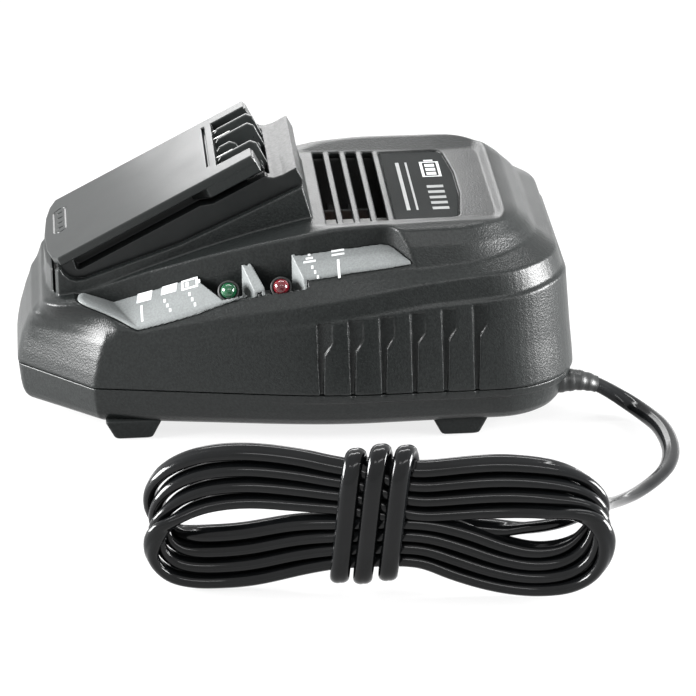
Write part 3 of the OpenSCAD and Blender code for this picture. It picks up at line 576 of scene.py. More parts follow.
def in_slide(x, z):
    """Coordinates along and out of the slide, of points in x and z."""
    dx, dz = x - SLIDE_X, z - SLIDE_Z
    return dx * math.cos(TILT) + dz * math.sin(TILT), -dx * math.sin(TILT) + dz * math.cos(TILT)


def from_slide(points):
    u, v, w = points.T
    x, z = slide_point(u, w)
    return np.stack([x, v, z], 1)


def profile(points, x, z):
    """Field of a side profile, constant along y."""
    return outline_field(points, x[:, 0, :], z[:, 0, :])[:, None, :]


def plan(points, x, y):
    """Field of a plan outline, constant along z."""
    return outline_field(points, x[:, :, 0], y[:, :, 0])[:, :, None]


def nose_plan(grow):
    """Plan of the collar: the slide's nose in front, straight sides, and the back of the end stop."""
    half = [(SLIDE_X + u * math.cos(TILT) - grow, min(v + grow, COLLAR_HALF)) for u, v in NOSE]
    half = [(DECK_IN_X, COLLAR_HALF), (half[0][0] + 0.4, COLLAR_HALF)] + half[1:]
    return half + [(x, -y) for x, y in reversed(half)]


def collar_field(x, y, z):
    side = profile([(-90, 36), (-90, 58.4), *SEAM, STOP_BACK, (DECK_IN_X, 40)], x, z)
    under = in_slide(x, z)[1] + RAIL_T + 0.1
    walls = plan(nose_plan(0.3), x, y)
    back = profile([(-90, 30), (-90, 90), (SEAM[-1][0], 90), SEAM[-1], STOP_BACK, (DECK_IN_X, 60), (DECK_IN_X, 30)],
                   x, z)
    return common(common(walls, back, 0.6), np.maximum(side, under), 0.45)


# ---- Openings ----------------------------------------------------------------
VENT_COUNT, VENT_W, VENT_X0, VENT_PITCH, VENT_T = 4, 3.5, 12.9, 5.6, 2.2
VENT_WELL = (9.4, 46, -38, 38, 26, DISH_Z - VENT_T)
GRIP_COUNT, GRIP_X0, GRIP_PITCH, GRIP_W, GRIP_DEPTH = 6, 6.2, 10.15, 4.6, (1.1, 0.25)
GRIP_LOW_Z, GRIP_TOP_Z, GRIP_RISE = 17.2, 42, 1
LABEL_X, LABEL_HALF, LABEL_SINK, LABEL_T = (33.9, 56.8), 35.2, 0.9, 0.5
# Recess of the lamp panel: x and y of its back wall, and x, y, z along the foot and the top of its floor
WALL_LINE = ((-76, -31.6), (-70, -31.6), (-63, -32), (-47, -34.8), (-31, -39.2), (-14.4, -43.2), (2, -46.2),
             (18, -46.8), (45, -46.6))
FLOOR_FOOT = ((-72, -43, 34.2), (-52, -46.2, 39.8), (-31.4, -49.6, 45.4), (-15.2, -52.8, 50.0), (1, -56, 54.2),
              (17.2, -56.9, 57.1), (33.5, -56.7, 58.8), (45, -56.6, 60.4))
FLOOR_TOP = ((-72, -31.6, 39.8), (-60, -32.4, 43.8), (-47.2, -34.8, 48.0), (-32, -39.1, 53.7), (-17.8, -42.5, 58.2),
             (-0.5, -46.1, 62.2), (14.8, -46.8, 64.2), (26.2, -46.6, 65.4), (45, -46.6, 67))
RAMP = ((-71.2, -37.6, 47.1), (-52, -46.2, 39.7), (-59.7, -33, 43.9))
PANEL_END = ((40.4, -56.6, 60.0), (30.6, -46.6, 65.0))
PANEL_SEAT, PANEL_LAP = 1.0, 0.3
# Lamp pockets: x at the back and at the front of their left and right walls, and the floor height there
POCKETS = ((-29.5, -24.4, -17.8, -13.4, 47.4, 48.4), (-13.6, -8.4, -1.6, 3.0, 49.8, 51.0))
# Lip left in front of the pockets, how far the first one's left wall leans, and the walls' thickness
POCKET_LIP, POCKET_LEAN, LINER_T = 1.7, 0.62, 1.0


def grip_outline(i, low=GRIP_LOW_Z):
    x, top = GRIP_X0 + i * GRIP_PITCH, GRIP_TOP_Z + i * GRIP_RISE
    return [(x + 0.3, low), (x - 0.3, top + 0.4), (x + GRIP_W, top + 0.4), (x + GRIP_W, top - 6),
            (x + GRIP_W - 2.6, top - 10), (x + GRIP_W - 3.2, low)]


def along(points, x, axis):
    table = np.array(points, float)
    return np.interp(x, table[:, 0], table[:, axis]).astype(np.float32)


def floor_height(x, y):
    """Height of the lamp panel's face, ruled between its foot and its top, with the ramp at its tip."""
    foot_y, foot_z = along(FLOOR_FOOT, x, 1), along(FLOOR_FOOT, x, 2)
    top_y, top_z = along(FLOOR_TOP, x, 1), along(FLOOR_TOP, x, 2)
    face = foot_z + (top_z - foot_z) * (y - foot_y) / (top_y - foot_y)
    a, b, c = (np.array(p, float) for p in RAMP)
    n = np.cross(b - a, c - a)
    ramp = a[2] - (n[0] * (x - a[0]) + n[1] * (y - a[1])) / n[2]
    return -joined(-face, -ramp, 0.3)


def floor_field(x, y, z):
    return ((z - floor_height(x, y)) * math.cos(math.radians(38))).astype(np.float32)


def recess_plan(x, y, grow=0.0):
    """Plan field of the lamp recess, open towards the side of the housing."""
    wall = along(WALL_LINE, x, 1)
    inner = (y - wall) * 0.98 + 0 * x
    (ax, ay, _), (bx, by, _) = PANEL_END
    n = np.array((by - ay, -(bx - ax)), float)
    n /= np.linalg.norm(n)
    end = (x - ax) * n[0] + (y - ay) * n[1]
    tip = -71.4 - x + 0 * y
    return common(common(inner, end, 2.2), tip, 0.4) - grow


def pocket_field(x, y, z, grow=0.0):
    """The two lamp pockets: level floors, splayed side walls, and the recess's own back wall."""
    made = None
    for k, (lb, lf, rb, rf, zb, zf) in enumerate(POCKETS):
        back, front = along(FLOOR_TOP, (lb + rb) / 2, 1), along(FLOOR_FOOT, (lf + rf) / 2, 1)
        t = (y - back) / (front - back)
        right = (x - (rb + (rf - rb) * t)) * 0.92
        floor = zb + (zf - zb) * t
        left = (lb + (lf - lb) * t - x) * 0.92
        if k == 0:
            left = (left * 0.9 + (floor - z) * POCKET_LEAN + 1.8) / 1.05
        cut = common(np.maximum(left, right), floor - z, 0.4) - grow
        cut = common(cut, y - along(WALL_LINE, x, 1), 0.3)
        cut = common(cut, along(FLOOR_FOOT, x, 1) + POCKET_LIP - y, 0.2)
        made = cut if made is None else np.minimum(made, cut)
    return made


def label_outline(grow=0.0):
    x0, x1 = LABEL_X[0] - grow, LABEL_X[1] + grow
    half = LABEL_HALF + grow
    side = corner((x0, half), (x1 - 2.2, half), (x1, half - 24), 4, 6)
    side += corner((x1 - 2.2, half), (x1, half - 24), (x1, 0), 40, 6)
    return [(x0, half)] + side + [(x, -y) for x, y in reversed(side)] + [(x0, -half)]


def upper_housing_field(x, y, z):
    skin = upper_field(x, y, z)
    body = common(skin, RIM_Z + 0.1 - z, 0.35)
    body = joined(body, collar_field(x, y, z), 0.7)
    seat = profile([(-78.65, 46), (-78.65, 90), (DECK_IN_X + 2, 90), (DECK_IN_X + 2, 60), (-40, 48)], x, z)
    inner = without(np.maximum(seat, np.abs(y) - SHOE_HALF - GAP), collar_cap(x, z), 0.01)
    body = without(body, inner, 0.3)
    for i in range(VENT_COUNT):
        at = VENT_X0 + i * VENT_PITCH
        slot = np.maximum(np.abs(x - at) - VENT_W / 2, np.abs(y) - along(DISH, x, 1) + 0.4)
        body = without(body, np.maximum(slot, DISH_Z - VENT_T - 1 - z), 0.35)
    body = without(body, block(x, y, z, *VENT_WELL), 0.2)
    seat = np.maximum(plan(label_outline(0.35), x, y), DISH_Z - LABEL_SINK - z)
    body = without(body, seat, 0.25)
    for i in range(GRIP_COUNT):
        deep = np.interp(x, (GRIP_X0 + i * GRIP_PITCH, GRIP_X0 + i * GRIP_PITCH + GRIP_W), GRIP_DEPTH)
        body = without(body, np.maximum(profile(grip_outline(i), x, z), -(skin + deep.astype(np.float32))), 0.3)
    floor = floor_field(x, y, z)
    recess = np.maximum(recess_plan(x, y), -(floor + PANEL_SEAT))
    body = without(body, recess, 1.0)
    return without(body, pocket_field(x, y, z, LINER_T + GAP), 0.2)


def collar_cap(x, z):
    """Keeps the collar's back wall behind the end stop."""
    return profile([SEAM[-1], (3.9, 82), (12, 82), (12, 55), (DECK_IN_X - WALL, 55)], x, z)


# Inset of the lower shell's wall by height, and the step in it near its rim
SKIRT = ((BASE_Z, 8.5), (BASE_Z + 0.6, 6.6), (BASE_Z + 1.8, 4.6), (BASE_Z + 3.6, 3.0), (BASE_Z + 6.5, 1.9),
         (RIM_Z - 3.4, 1.2), (RIM_Z, 0.4))
SKIRT_STEP, SKIRT_STEP_Z = 1.3, 3.0


def lower_housing_field(x, y, z):
    rim = plan(level_outline(LEVELS["rim"]), x, y)
    inset = np.interp(z, *np.array(SKIRT).T).astype(np.float32)
    share = np.interp(x, (-92, -60, 0), (0.45, 0.8, 1.0)).astype(np.float32)
    step = np.interp(z, (RIM_Z - SKIRT_STEP_Z - 0.5, RIM_Z - SKIRT_STEP_Z), (SKIRT_STEP, 0)) \
        * np.interp(x, (-10, 50), (0, 1))
    body = common(rim + inset * share + step.astype(np.float32), np.maximum(BASE_Z - z, z - RIM_Z + 0.3), 0.35)
    for i in range(GRIP_COUNT):
        notch = np.maximum(profile(grip_outline(i, RIM_Z - 1.6), x, z), -(rim + 0.9))
        body = without(body, notch, 0.2)
    return body


def vent_shade_well_field(x, y, z):
    """Duct under the vents, open at the top, in darker plastic: painted shade that makes the vent openings read
    black.
    """
    x0, x1, y0, y1, z0, z1 = VENT_WELL
    inner = block(x, y, z, x0 + 0.8, x1 - 0.8, y0 + 0.8, y1 - 0.8, z0 + 0.8, z1 + 9)
    return np.maximum(block(x, y, z, x0 + 0.05, x1 - 0.05, y0 + 0.05, y1 - 0.05, z0 + 0.05, z1 - 0.05), -inner)


def make_housing():
    moulded("housing_upper", upper_housing_field, (-95, -66, 16), (95, 66, 86), 0.45, 0.26, "housing",
            "housing_plastic", "upper_housing")
    moulded("housing_lower", lower_housing_field, (-95, -66, 4), (95, 66, 20), 0.5, 0.3, "housing",
            "housing_plastic", "lower_housing")
    # The vent duct: a dark piece that gives painted shade under the vent openings.
    moulded("vent_shade_well", vent_shade_well_field, (8, -40, 24), (48, 40, 70), 0.6, 0.2, "dark", "dark_plastic")


# ---- Lamp panel --------------------------------------------------------------
def panel_field(x, y, z):
    skin = upper_field(x, y, z)
    floor = floor_field(x, y, z)
    body = common(floor, -(floor + PANEL_SEAT - 0.15), 0.2)
    body = common(body, recess_plan(x, y, -PANEL_LAP), 0.2)
    body = common(body, skin + 0.3, 0.35)
    return without(body, pocket_field(x, y, z), 0.2)


def pocket_liner_field(x, y, z):
    """The walls and floors of the pockets, in the panel's plastic."""
    shell = common(pocket_field(x, y, z, LINER_T), -pocket_field(x, y, z), 0.15)
    shell = common(shell, floor_field(x, y, z), 0.15)
    return common(shell, side_field(x, y, z) + 0.35, 0.3)


def make_panel():
    moulded("lamp_panel", panel_field, (-76, -60, 36), (44, -28, 70), 0.3, 0.35, "panel", "panel_plastic",
            "led_panel")
    moulded("pocket_liner", pocket_liner_field, (-34, -60, 44), (8, -38, 66), 0.3, 0.4, "panel", "panel_plastic")


# ---- Shoe, slide and contacts ------------------------------------------------
# u runs up along the slide, v across it and w out of its face
LIP_W, LIP_LOW_W, LIP_U = -7.5, -8.9, (47, 51)
GROOVE_FRONT_U = 1.8
BLOCK_U, BLOCK_W, BLOCK_RAMP = (48.4, 51.6), -6.5, 3.4
STOP_TOP = ((-8.6, 84.3), (-7.2, 83.2), (-5.4, 83.0), (-2.4, 83.9), (2.0, 86.2))
WELL_X, WELL_Z, WELL_HALF = (-13.6, -6.8), 76.6, 24
SLOT_U, SLOT_V = (53.9, 54.9), (-18.3, 23.6)
BAR_U, MOUTH_V = (54.9, 57.4), (-21.4, 23.4)
RIB_V, RIB_T, RIB_U, RIB_SHORT_U = (14.6, 4.5, -4.8, -14.6), 1.5, (57.0, 72.0), 65.0


def shoe_field(x, y, z):
    u, w = in_slide(x, z)
    seam = [(a + 0.12, b + 0.12) for a, b in SEAM]
    outline = seam + [(4.2, 82), STOP_TOP[-1]] + list(reversed(STOP_TOP[:-1])) \
        + [slide_point(68, -3.05), slide_point(-2.6, -3.05)]
    low = [(-77.2, 50), (-77.2, 45.9), (-40, 45.9), (7, 68), (4.0, 80.5)]
    body = np.minimum(profile(outline, x, z), profile([seam[0]] + low + seam[::-1], x, z))
    body = common(body, np.abs(y) - SHOE_HALF, 0.4)
    lip = np.interp(u, LIP_U, (LIP_W, LIP_LOW_W)).astype(np.float32)
    groove = common(common(lip - w, GROOVE_FRONT_U + 0.2 * (w + 3) - u, 1.8), NECK_W / 2 - np.abs(y), 0.3)
    groove = common(groove, np.maximum(w - 1, x - STOP_TOP[0][0] - 0.4), 0.2)
    body = without(body, groove, 0.35)
    well = block(x, y, z, WELL_X[0], WELL_X[1], -WELL_HALF, WELL_HALF, WELL_Z, 95, 0.6)
    body = without(body, well, 0.5)
    mouth = np.maximum(np.maximum(57 - u, u - 73), np.maximum(-10 - w, np.abs(y) - 20))
    return without(body, mouth, 0.3)


def slide_field(u, v, w):
    half = [(70, 30), (0, 30)] + [(a, b) for a, b in NOSE]
    outline = half + [(a, -b) for a, b in reversed(half[:-1])]
    flat = outline_field(outline, u[:, :, 0], v[:, :, 0])[:, :, None]
    plate = common(flat, np.maximum(w, -RAIL_T - w), 0.45)
    step = BLOCK_U[1] - (BLOCK_U[1] - BLOCK_U[0]) * (29.6 - np.abs(v)) / BLOCK_RAMP
    blocks = common(np.maximum(np.abs(v) - 29.8, NECK_W / 2 - 1.5 - np.abs(v)), np.maximum(w + 1, BLOCK_W - w), 0.3)
    blocks = common(blocks, np.maximum(step - u, u - 70.4), 0.3)
    body = joined(plate, blocks, 0.05)
    mouth = np.maximum(BAR_U[1] - u, np.maximum(MOUTH_V[0] - v, v - MOUTH_V[1]))
    body = without(body, mouth + 0 * w, 0.3)
    slot = np.maximum(np.maximum(SLOT_U[0] - u, u - SLOT_U[1]), np.maximum(SLOT_V[0] - v, v - SLOT_V[1]))
    body = without(body, np.maximum(slot, -1.6 - w), 0.2)
    oval = np.hypot(u + 0.6, np.maximum(np.abs(v - 6.5) - 9.5, 0)) - 2.2
    bars = np.maximum(np.abs(u + 0.6) - 0.9, np.abs((v - 6.5 + 60) % 5 - 2.5) - 0.45)
    bars = np.maximum(bars, np.abs(v - 6.5) - 8)
    mark = np.minimum(np.abs(oval) - 0.3, bars)
    return without(body, np.maximum(mark + 0 * w, -0.35 - w), 0.15)


def holder_field(u, v, w):
    """Insulating block with four ribs between the contacts."""
    body = np.maximum(np.maximum(57.6 - u, u - 70.5), np.maximum(np.abs(v) - 19.8, np.maximum(w + 7.6, -9.9 - w)))
    for k, at in enumerate(RIB_V):
        end = RIB_SHORT_U if k == 2 else RIB_U[1]
        side = np.maximum(RIB_U[0] - u, u - end)
        front = w - np.interp(u, (56, 57, 59.3, end - 1.6, end), (-2.4, -1.5, -0.05, -0.05, -1.8))
        rib = common(np.maximum(side, np.abs(v - at) - RIB_T / 2), np.maximum(front, -9.9 - w), 0.3)
        body = np.minimum(body, rib.astype(np.float32))
    return body


def make_shoe():
    moulded("shoe_body", shoe_field, (-80, -30, 44), (8, 30, 88), 0.36, 0.35, "shoe", "dark_plastic",
            "battery_shoe")
    moulded("slide_plate", slide_field, (-8.5, -31, -7.5), (72, 31, 1), 0.3, 0.25, "slide", "slide_plastic",
            "rail_plate", place=from_slide)
    moulded("contact_block", holder_field, (56, -21, -10.5), (73, 21, 1), 0.28, 0.4, "ribs", "dark_plastic",
            "contact_holder", place=from_slide)


# ---- Label, lamps and feet ---------------------------------------------------
def label_field(x, y, z):
    top = DISH_Z - LABEL_SINK + LABEL_T
    return common(plan(label_outline(), x, y), np.maximum(z - top, top - LABEL_T - z), 0.12)


def bar(x0, x1, y0, y1, cut=0.0):
    return [(x0, y0), (x1, y0 + cut), (x1, y1 - cut), (x0, y1)]


def ring_sign(x0, x1, y0, y1, t):
    """A rectangle's outline as four bars."""
    return [bar(x0, x1, y0, y0 + t), bar(x0, x1, y1 - t, y1), bar(x0, x0 + t, y0 + t, y1 - t),
            bar(x1 - t, x1, y0 + t, y1 - t)]


def printed(name, shapes, lift, material):
    """Ink: flat outlines a few hundredths of a millimetre above a face given by lift(x, y)."""
    points, faces = [], []
    for shape in shapes:
        (ax, ay), (bx, by), (cx, cy), (dx, dy) = shape
        n = 6
        base = len(points)
        for i in range(n + 1):
            for k in range(3):
                s, t = i / n, k / 2
                px = (ax * (1 - s) + bx * s) * (1 - t) + (dx * (1 - s) + cx * s) * t
                py = (ay * (1 - s) + by * s) * (1 - t) + (dy * (1 - s) + cy * s) * t
                points.append((px, py, lift(px, py)))
        for i in range(n):
            for k in range(2):
                a = base + i * 3 + k
                faces.append((a, a + 3, a + 4, a + 1))
    made = mesh_object(name, np.array(points) * MM, faces, material, smooth=False)
    skin = made.modifiers.new("ink", "SOLIDIFY")
    skin.thickness = 0.03 * MM
    skin.offset = 0
    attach(made, "root")
    return made


def panel_point(x, t):
    """Point on the lamp panel's face: x, and the share of the way from its foot to its top."""
    foot, top = along(FLOOR_FOOT, x, 1), along(FLOOR_TOP, x, 1)
    return float(x), float(foot + (top - foot) * t)


def panel_bar(x0, x1, t0, t1, slant=0.0):
    """A bar on the panel between two x, from share t0 up to t1, its top shifted along x."""
    return [panel_point(x0, t0), panel_point(x1, t0), panel_point(x1 + slant, t1), panel_point(x0 + slant, t1)]


def dashes(x, t0, t1, count, slant):
    step = (t1 - t0) / count
    return [panel_bar(x + slant * i / count, x + 0.7 + slant * i / count, t1 - step * (i + 0.62), t1 - step * i)
            for i in range(count)]


def make_panel_marks():
    """Charge stages as bars of growing height, and two plain lamp signs."""
    marks = [panel_bar(-51.8, -47.0, 0.70, 0.98, 0.6), panel_bar(-50.6, -49.9, 0.10, 0.60, 0.0)]
    marks += [panel_bar(-43.8, -38.8, 0.74, 0.98, 0.6)] + dashes(-43.0, 0.12, 0.60, 3, 2.4)
    cell = [(-37.0, -31.6, 0.70, 0.75), (-37.0, -31.6, 0.93, 0.98), (-37.0, -36.3, 0.75, 0.93),
            (-32.3, -31.6, 0.75, 0.93), (-31.6, -30.9, 0.79, 0.89), (-35.8, -34.6, 0.78, 0.90)]
    marks += [panel_bar(*c) for c in cell] + dashes(-34.9, 0.10, 0.60, 3, 2.4)
    marks += [panel_bar(2.6, 6.6, 0.70, 0.76), panel_bar(3.4, 5.8, 0.80, 0.86), panel_bar(4.2, 5.0, 0.90, 0.96)]
    marks += dashes(5.0, 0.12, 0.60, 3, 2.4)
    marks += [panel_bar(11.8, 16.0, 0.78, 0.84), panel_bar(11.8, 16.0, 0.90, 0.96)]
    marks += [panel_bar(13.4, 14.2, 0.08, 0.66)]
    printed("panel_marks", marks, lambda x, y: float(floor_height(np.float32(x), np.float32(y))) + 0.03,
            MATERIALS["ink"])


def make_label():
    moulded("deck_label", label_field, (32, -37, 68), (59, 37, 70), 0.3, 0.3, "label", "label_film", "label_plate")
    top = DISH_Z - LABEL_SINK + LABEL_T + 0.04
    shapes = ring_sign(46.5, 53.0, 8, 24, 0.9) + [bar(48.2, 51.3, 24.6, 26)]
    shapes += [bar(48.1, 51.4, 10 + 4.3 * i, 12.9 + 4.3 * i) for i in range(3)]
    printed("label_sign", shapes, lambda x, y: top, MATERIALS["ink"])
    lines = [bar(38.4, 39.6, -26, 24), bar(41.6, 42.3, -26, 24)]
    lines += [bar(47.0, 52.5, -26 + 5.6 * i, -23.4 + 5.6 * i) for i in range(5)]
    printed("label_lines", lines, lambda x, y: top, MATERIALS["ink_soft"])


# Lamps: the piece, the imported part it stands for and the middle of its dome
LAMPS = (("green_lens", "green_lamp", (-21.9, -48.2, 51.5)), ("red_lens", "red_lamp", (-4.9, -51.5, 53.3)))
LAMP_R, BEZEL_R, LAMP_LIFT = 2.6, 3.55, math.radians(32)
LAMP_DEEP = 3.5
LAMP_PIN_Y, LAMP_PIN_Z, LAMP_PIN_R, LAMP_PIN_PITCH = (-43.2, -46.0), (24.7, 46.2), 0.25, 2.54


def lathe(name, profile_points, at, axis, material, sides=64):
    """A turned piece: radius and height pairs around an axis through a point."""
    axis = np.array(axis, float) / np.linalg.norm(axis)
    side = np.cross(axis, (1, 0, 0) if abs(axis[0]) < 0.9 else (0, 1, 0))
    side /= np.linalg.norm(side)
    other = np.cross(axis, side)
    points, faces = [], []
    for r, h in profile_points:
        for k in range(sides):
            a = 2 * math.pi * k / sides
            points.append(np.array(at) + axis * h + r * (math.cos(a) * side + math.sin(a) * other))
    for i in range(len(profile_points) - 1):
        for k in range(sides):
            j = (k + 1) % sides
            faces.append((i * sides + k, i * sides + j, (i + 1) * sides + j, (i + 1) * sides + k))
    return mesh_object(name, np.array(points) * MM, faces, material)


def make_lamps():
    axis = (0, -math.cos(LAMP_LIFT), math.sin(LAMP_LIFT))
    dome = [(LAMP_R, -LAMP_DEEP), (LAMP_R, 0)]
    dome += [(LAMP_R * math.cos(a), LAMP_R * math.sin(a)) for a in np.radians(np.arange(6, 90, 6))]
    dome += [(0.02, LAMP_R)]
    ring = [(LAMP_R + 0.05, -LAMP_DEEP), (LAMP_R + 0.05, -0.5), (LAMP_R + 0.25, -0.2), (BEZEL_R - 0.25, -0.2),
            (BEZEL_R, -0.5), (BEZEL_R, -LAMP_DEEP)]
    disc = [(0.02, -4.6), (BEZEL_R - 0.3, -4.6), (BEZEL_R - 0.3, -3.6), (0.02, -3.6)]
    low, high = LAMP_PIN_Z
    rod = [(0.02, 0), (LAMP_PIN_R, 0), (LAMP_PIN_R, high - low), (0.02, high - low)]
    for (name, node, at), pin_y in zip(LAMPS, LAMP_PIN_Y):
        belongs(lathe(name, dome, at, axis, MATERIALS[name]), name, node)
        belongs(lathe(name + "_ring", ring, at, axis, MATERIALS["ring"]), "panel_plastic")
        belongs(lathe(name + "_board", disc, at, axis, MATERIALS["board"], 32), "board_laminate", "lamp_boards")
        for k, side in enumerate((-1, 1)):
            pin_at = (at[0] + side * LAMP_PIN_PITCH / 2, pin_y, low)
            pin = lathe(name + "_pin_%d" % (k + 1), rod, pin_at, (0, 0, 1), MATERIALS["tinned"], 16)
            belongs(pin, "copper_wire", "lamp_wires")


# Feet: x of each pair and how far out they stand; then width at the top and the bottom, and depth
FEET = ((-54.2, 40), (53, 48))
FOOT_TOP, FOOT_BOTTOM, FOOT_DEEP = 18.6, 12.2, 12


def feet_field(x, y, z):
    made = None
    for at, out in FEET:
        half = np.interp(z, (0, BASE_Z + 1), (FOOT_BOTTOM / 2, FOOT_TOP / 2)).astype(np.float32)
        sides = (np.abs(x - at) - half) * 0.88
        ends = np.abs(np.abs(y) - out) - FOOT_DEEP / 2 + 0.12 * (4 - z)
        foot = common(common(sides, ends, 1.2), np.maximum(-z, z - BASE_Z - 1.5), 1.0)
        made = foot if made is None else np.minimum(made, foot)
    return made


def make_feet():
    moulded("rubber_feet", feet_field, (-66, -58, -1), (66, 58, 8), 0.5, 0.5, "rubber", "dark_plastic", "feet")


# ---- Mains lead --------------------------------------------------------------
LEAD_W, LEAD_T = 6.0, 3.8
LOBE_R = LEAD_T / 2
LOBE_OUT = (LEAD_W - LEAD_T) / 2
HANK_AT = np.array((16.4, -180.4, 0.0))
HANK_TURN = math.radians(-10.5)
ALONG = np.array((math.cos(HANK_TURN), math.sin(HANK_TURN), 0.0))
FRONT = np.array((math.sin(HANK_TURN), -math.cos(HANK_TURN), 0.0))
RISE = np.array((0.0, 0.0, 1.0))
# Turns of the hank, and the share of a turn between the points along them
TURNS, TURN_STEP = 4, 0.02
# Rise of the lead's width over its run where it lies free
LEAD_TILT = -0.45
# From the strain relief over the floor and up to the back of the hank
LEAD_ROUTE = ((92.52, -41.5, 13), (98, -40.8, 11.6), (104, -40.2, 8), (110, -42.6, 4.6), (114.8, -50, 3),
              (117.8, -60, 3), (119, -72, 3), (118, -87, 3), (115, -98, 3), (109.5, -108.5, 3),
              (102.8, -119, 3.6), (96.7, -130, 6), (91.8, -142, 10), (87.8, -154, 14.6), (85.2, -166, 19),
              (81.6, -174.5, 21.8), (76, -181, 22.2), (69, -184.4, 21.6), (60, -185.5, 21.2))
# The same lead inside the hank: along, up and out to the front
LEAD_IN = ((36.4, 21.1, -2.5), (24.4, 22.3, -1.8), (11.8, 23.9, -1), (0, 26, -0.5))
# One turn of the hank: along, up, distance between neighbouring turns, and the angle of the row of
# turns: 0 where they lie side by side inwards, 90 where they are stacked to the front
TURN = np.array((
    (-10, 34.3, 4.3, 0), (-24, 36.0, 4.9, 0), (-38.8, 37.0, 5.2, 0), (-51.5, 35.6, 5.2, 4),
    (-61.0, 31.6, 4.8, 15), (-66.4, 25.3, 4.4, 45), (-67.4, 19.4, 3.9, 90), (-65.8, 14.2, 4.1, 132),
    (-60.3, 10.4, 4.7, 165), (-51.1, 10.2, 5.1, 180), (-39.4, 11.5, 5.1, 180), (-24.1, 15.1, 4.8, 180),
    (-10.3, 16.8, 4.2, 180), (11.9, 17.6, 4.1, 180), (24.6, 14.3, 4.7, 180), (36.6, 10.6, 4.4, 180),
    (48.7, 9.2, 4.0, 176), (59.9, 11.8, 4.0, 155), (66.4, 19.6, 4.0, 122), (66.6, 27.4, 3.9, 88),
    (60.6, 32.8, 4.0, 50), (50.3, 35.4, 4.5, 12), (36.8, 35.8, 5.0, 0), (24.7, 34.7, 4.9, 0),
    (12.0, 33.5, 4.7, 0)), float)
# How far the turns' flat sides lean back, in degrees
LEAN = 33
# The wraps where they pass under and over the hank, and how far out they go in front and behind
WRAP_LOW = ((-12.1, 4.4), (-5.1, 4.3), (2.6, 5.6))
WRAP_TOP = ((-6.8, 45.2), (0.8, 46.8), (8.3, 46.7))
WRAP_OUT = 5.4
# The lead's end, from the hank into the plug
LEAD_OUT = ((22, -166, 9.5), (22, -161, 7.2))


def curve_point(a, b, c, d, t):
    """Catmull-Rom point between b and c."""
    return 0.5 * (2 * b + (c - a) * t + (2 * a - 5 * b + 4 * c - d) * t * t + (3 * b - a - 3 * c + d) * t ** 3)


def hank_point(along, up, out):
    return HANK_AT + along * ALONG + up * RISE + out * FRONT


def turn_at(phase):
    """Values of TURN at a share of one turn, and the share where the hidden part starts."""
    gaps = np.linalg.norm(np.roll(TURN, -1, 0)[:, :2] - TURN[:, :2], axis=1)
    ends = np.concatenate([[0], np.cumsum(gaps)])
    x = (phase % 1) * ends[-1]
    i = min(int(np.searchsorted(ends, x, side="right")) - 1, len(TURN) - 1)
    a, b, c, d = (TURN[(i + j) % len(TURN)] for j in (-1, 0, 1, 2))
    return curve_point(a, b, c, d, (x - ends[i]) / gaps[i]), ends[-2] / ends[-1]


def turn_point(phase):
    """Centre of the lead and the direction of its width, at a phase from 0 to TURNS."""
    (along, up, pitch, angle), hidden = turn_at(phase)
    ahead, behind = turn_at(phase + 0.004)[0], turn_at(phase - 0.004)[0]
    t = (ahead - behind)[:2] / np.linalg.norm((ahead - behind)[:2])
    whole = math.floor(phase + 1e-9)
    x = min(max((phase - whole - hidden) / (1 - hidden), 0), 1)
    row = (TURNS - 1) / 2 - whole - x * x * (3 - 2 * x)
    beta = math.radians(angle)
    inward = -t[1] * ALONG + t[0] * RISE
    centre = hank_point(along, up, 0) + row * pitch * (math.cos(beta) * inward + math.sin(beta) * FRONT)
    lean = beta + math.pi / 2 - math.radians(LEAN) * math.cos(beta)
    return centre, math.cos(lean) * inward + math.sin(lean) * FRONT


def wrap_points():
    """The three wraps around the middle of the hank, as along, up and out."""
    points = [(2.5, 41.2, -1.0), (-4.5, 41.0, -2.6), (-10.2, 37.6, -4.8), (-13.4, 30.6, -WRAP_OUT - 0.3)]
    for k, ((bu, bh), (tu, th)) in enumerate(zip(WRAP_LOW, WRAP_TOP)):
        pu, ph = WRAP_TOP[k - 1] if k else points[-1][:2]
        if k:
            points += [(pu + (bu - pu) * 0.12, ph - 1.6, -3.7), (pu + (bu - pu) * 0.25, ph - 7, -WRAP_OUT)]
        points += [(pu + (bu - pu) * 0.55, (ph + bh) / 2, -WRAP_OUT - 0.3),
                   (pu + (bu - pu) * 0.85, bh + 7, -WRAP_OUT), (bu - 0.3, bh + 1.6, -3.7), (bu, bh, 0),
                   (bu + 0.3, bh + 1.6, 3.7), (bu + (tu - bu) * 0.2, bh + 7, WRAP_OUT),
                   (bu + (tu - bu) * 0.5, (bh + th) / 2, WRAP_OUT + 0.3), (bu + (tu - bu) * 0.8, th - 7, WRAP_OUT),
                   (tu - 0.3, th - 1.6, 3.7), (tu, th, 0)]
    return points + [(8.8, 45, -3.7), (9.2, 39, -5.8), (8.5, 28, -6.8), (7.5, 17, -9.0)]


def lead_centreline():
    """Points of the whole lead and the direction of its width at each."""
    route, widths = [], []
    stretches = [
        [(np.array(p, float), None) for p in LEAD_ROUTE],
        [(hank_point(*p), 0.55 * RISE - 0.84 * FRONT) for p in LEAD_IN],
        [turn_point(i * TURN_STEP) for i in range(int(TURNS / TURN_STEP) - 3)],
        [(hank_point(*p), ALONG + 0.12 * RISE) for p in wrap_points()],
        [(np.array(p, float), np.array((1.0, 0, 0))) for p in LEAD_OUT],
    ]
    for stretch in stretches:
        for centre, width in stretch:
            route.append(centre)
            widths.append(width)
    route = np.array(route)
    for i, width in enumerate(widths):
        if width is None:
            ahead = route[min(i + 1, len(route) - 1)] - route[max(i - 1, 0)]
            width = np.cross(ahead, RISE)
            width = width / np.linalg.norm(width) + LEAD_TILT * RISE
        width = width / np.linalg.norm(width)
        if i and width @ widths[i - 1] < 0:
            width = -width
        widths[i] = width
    return route, np.array(widths)


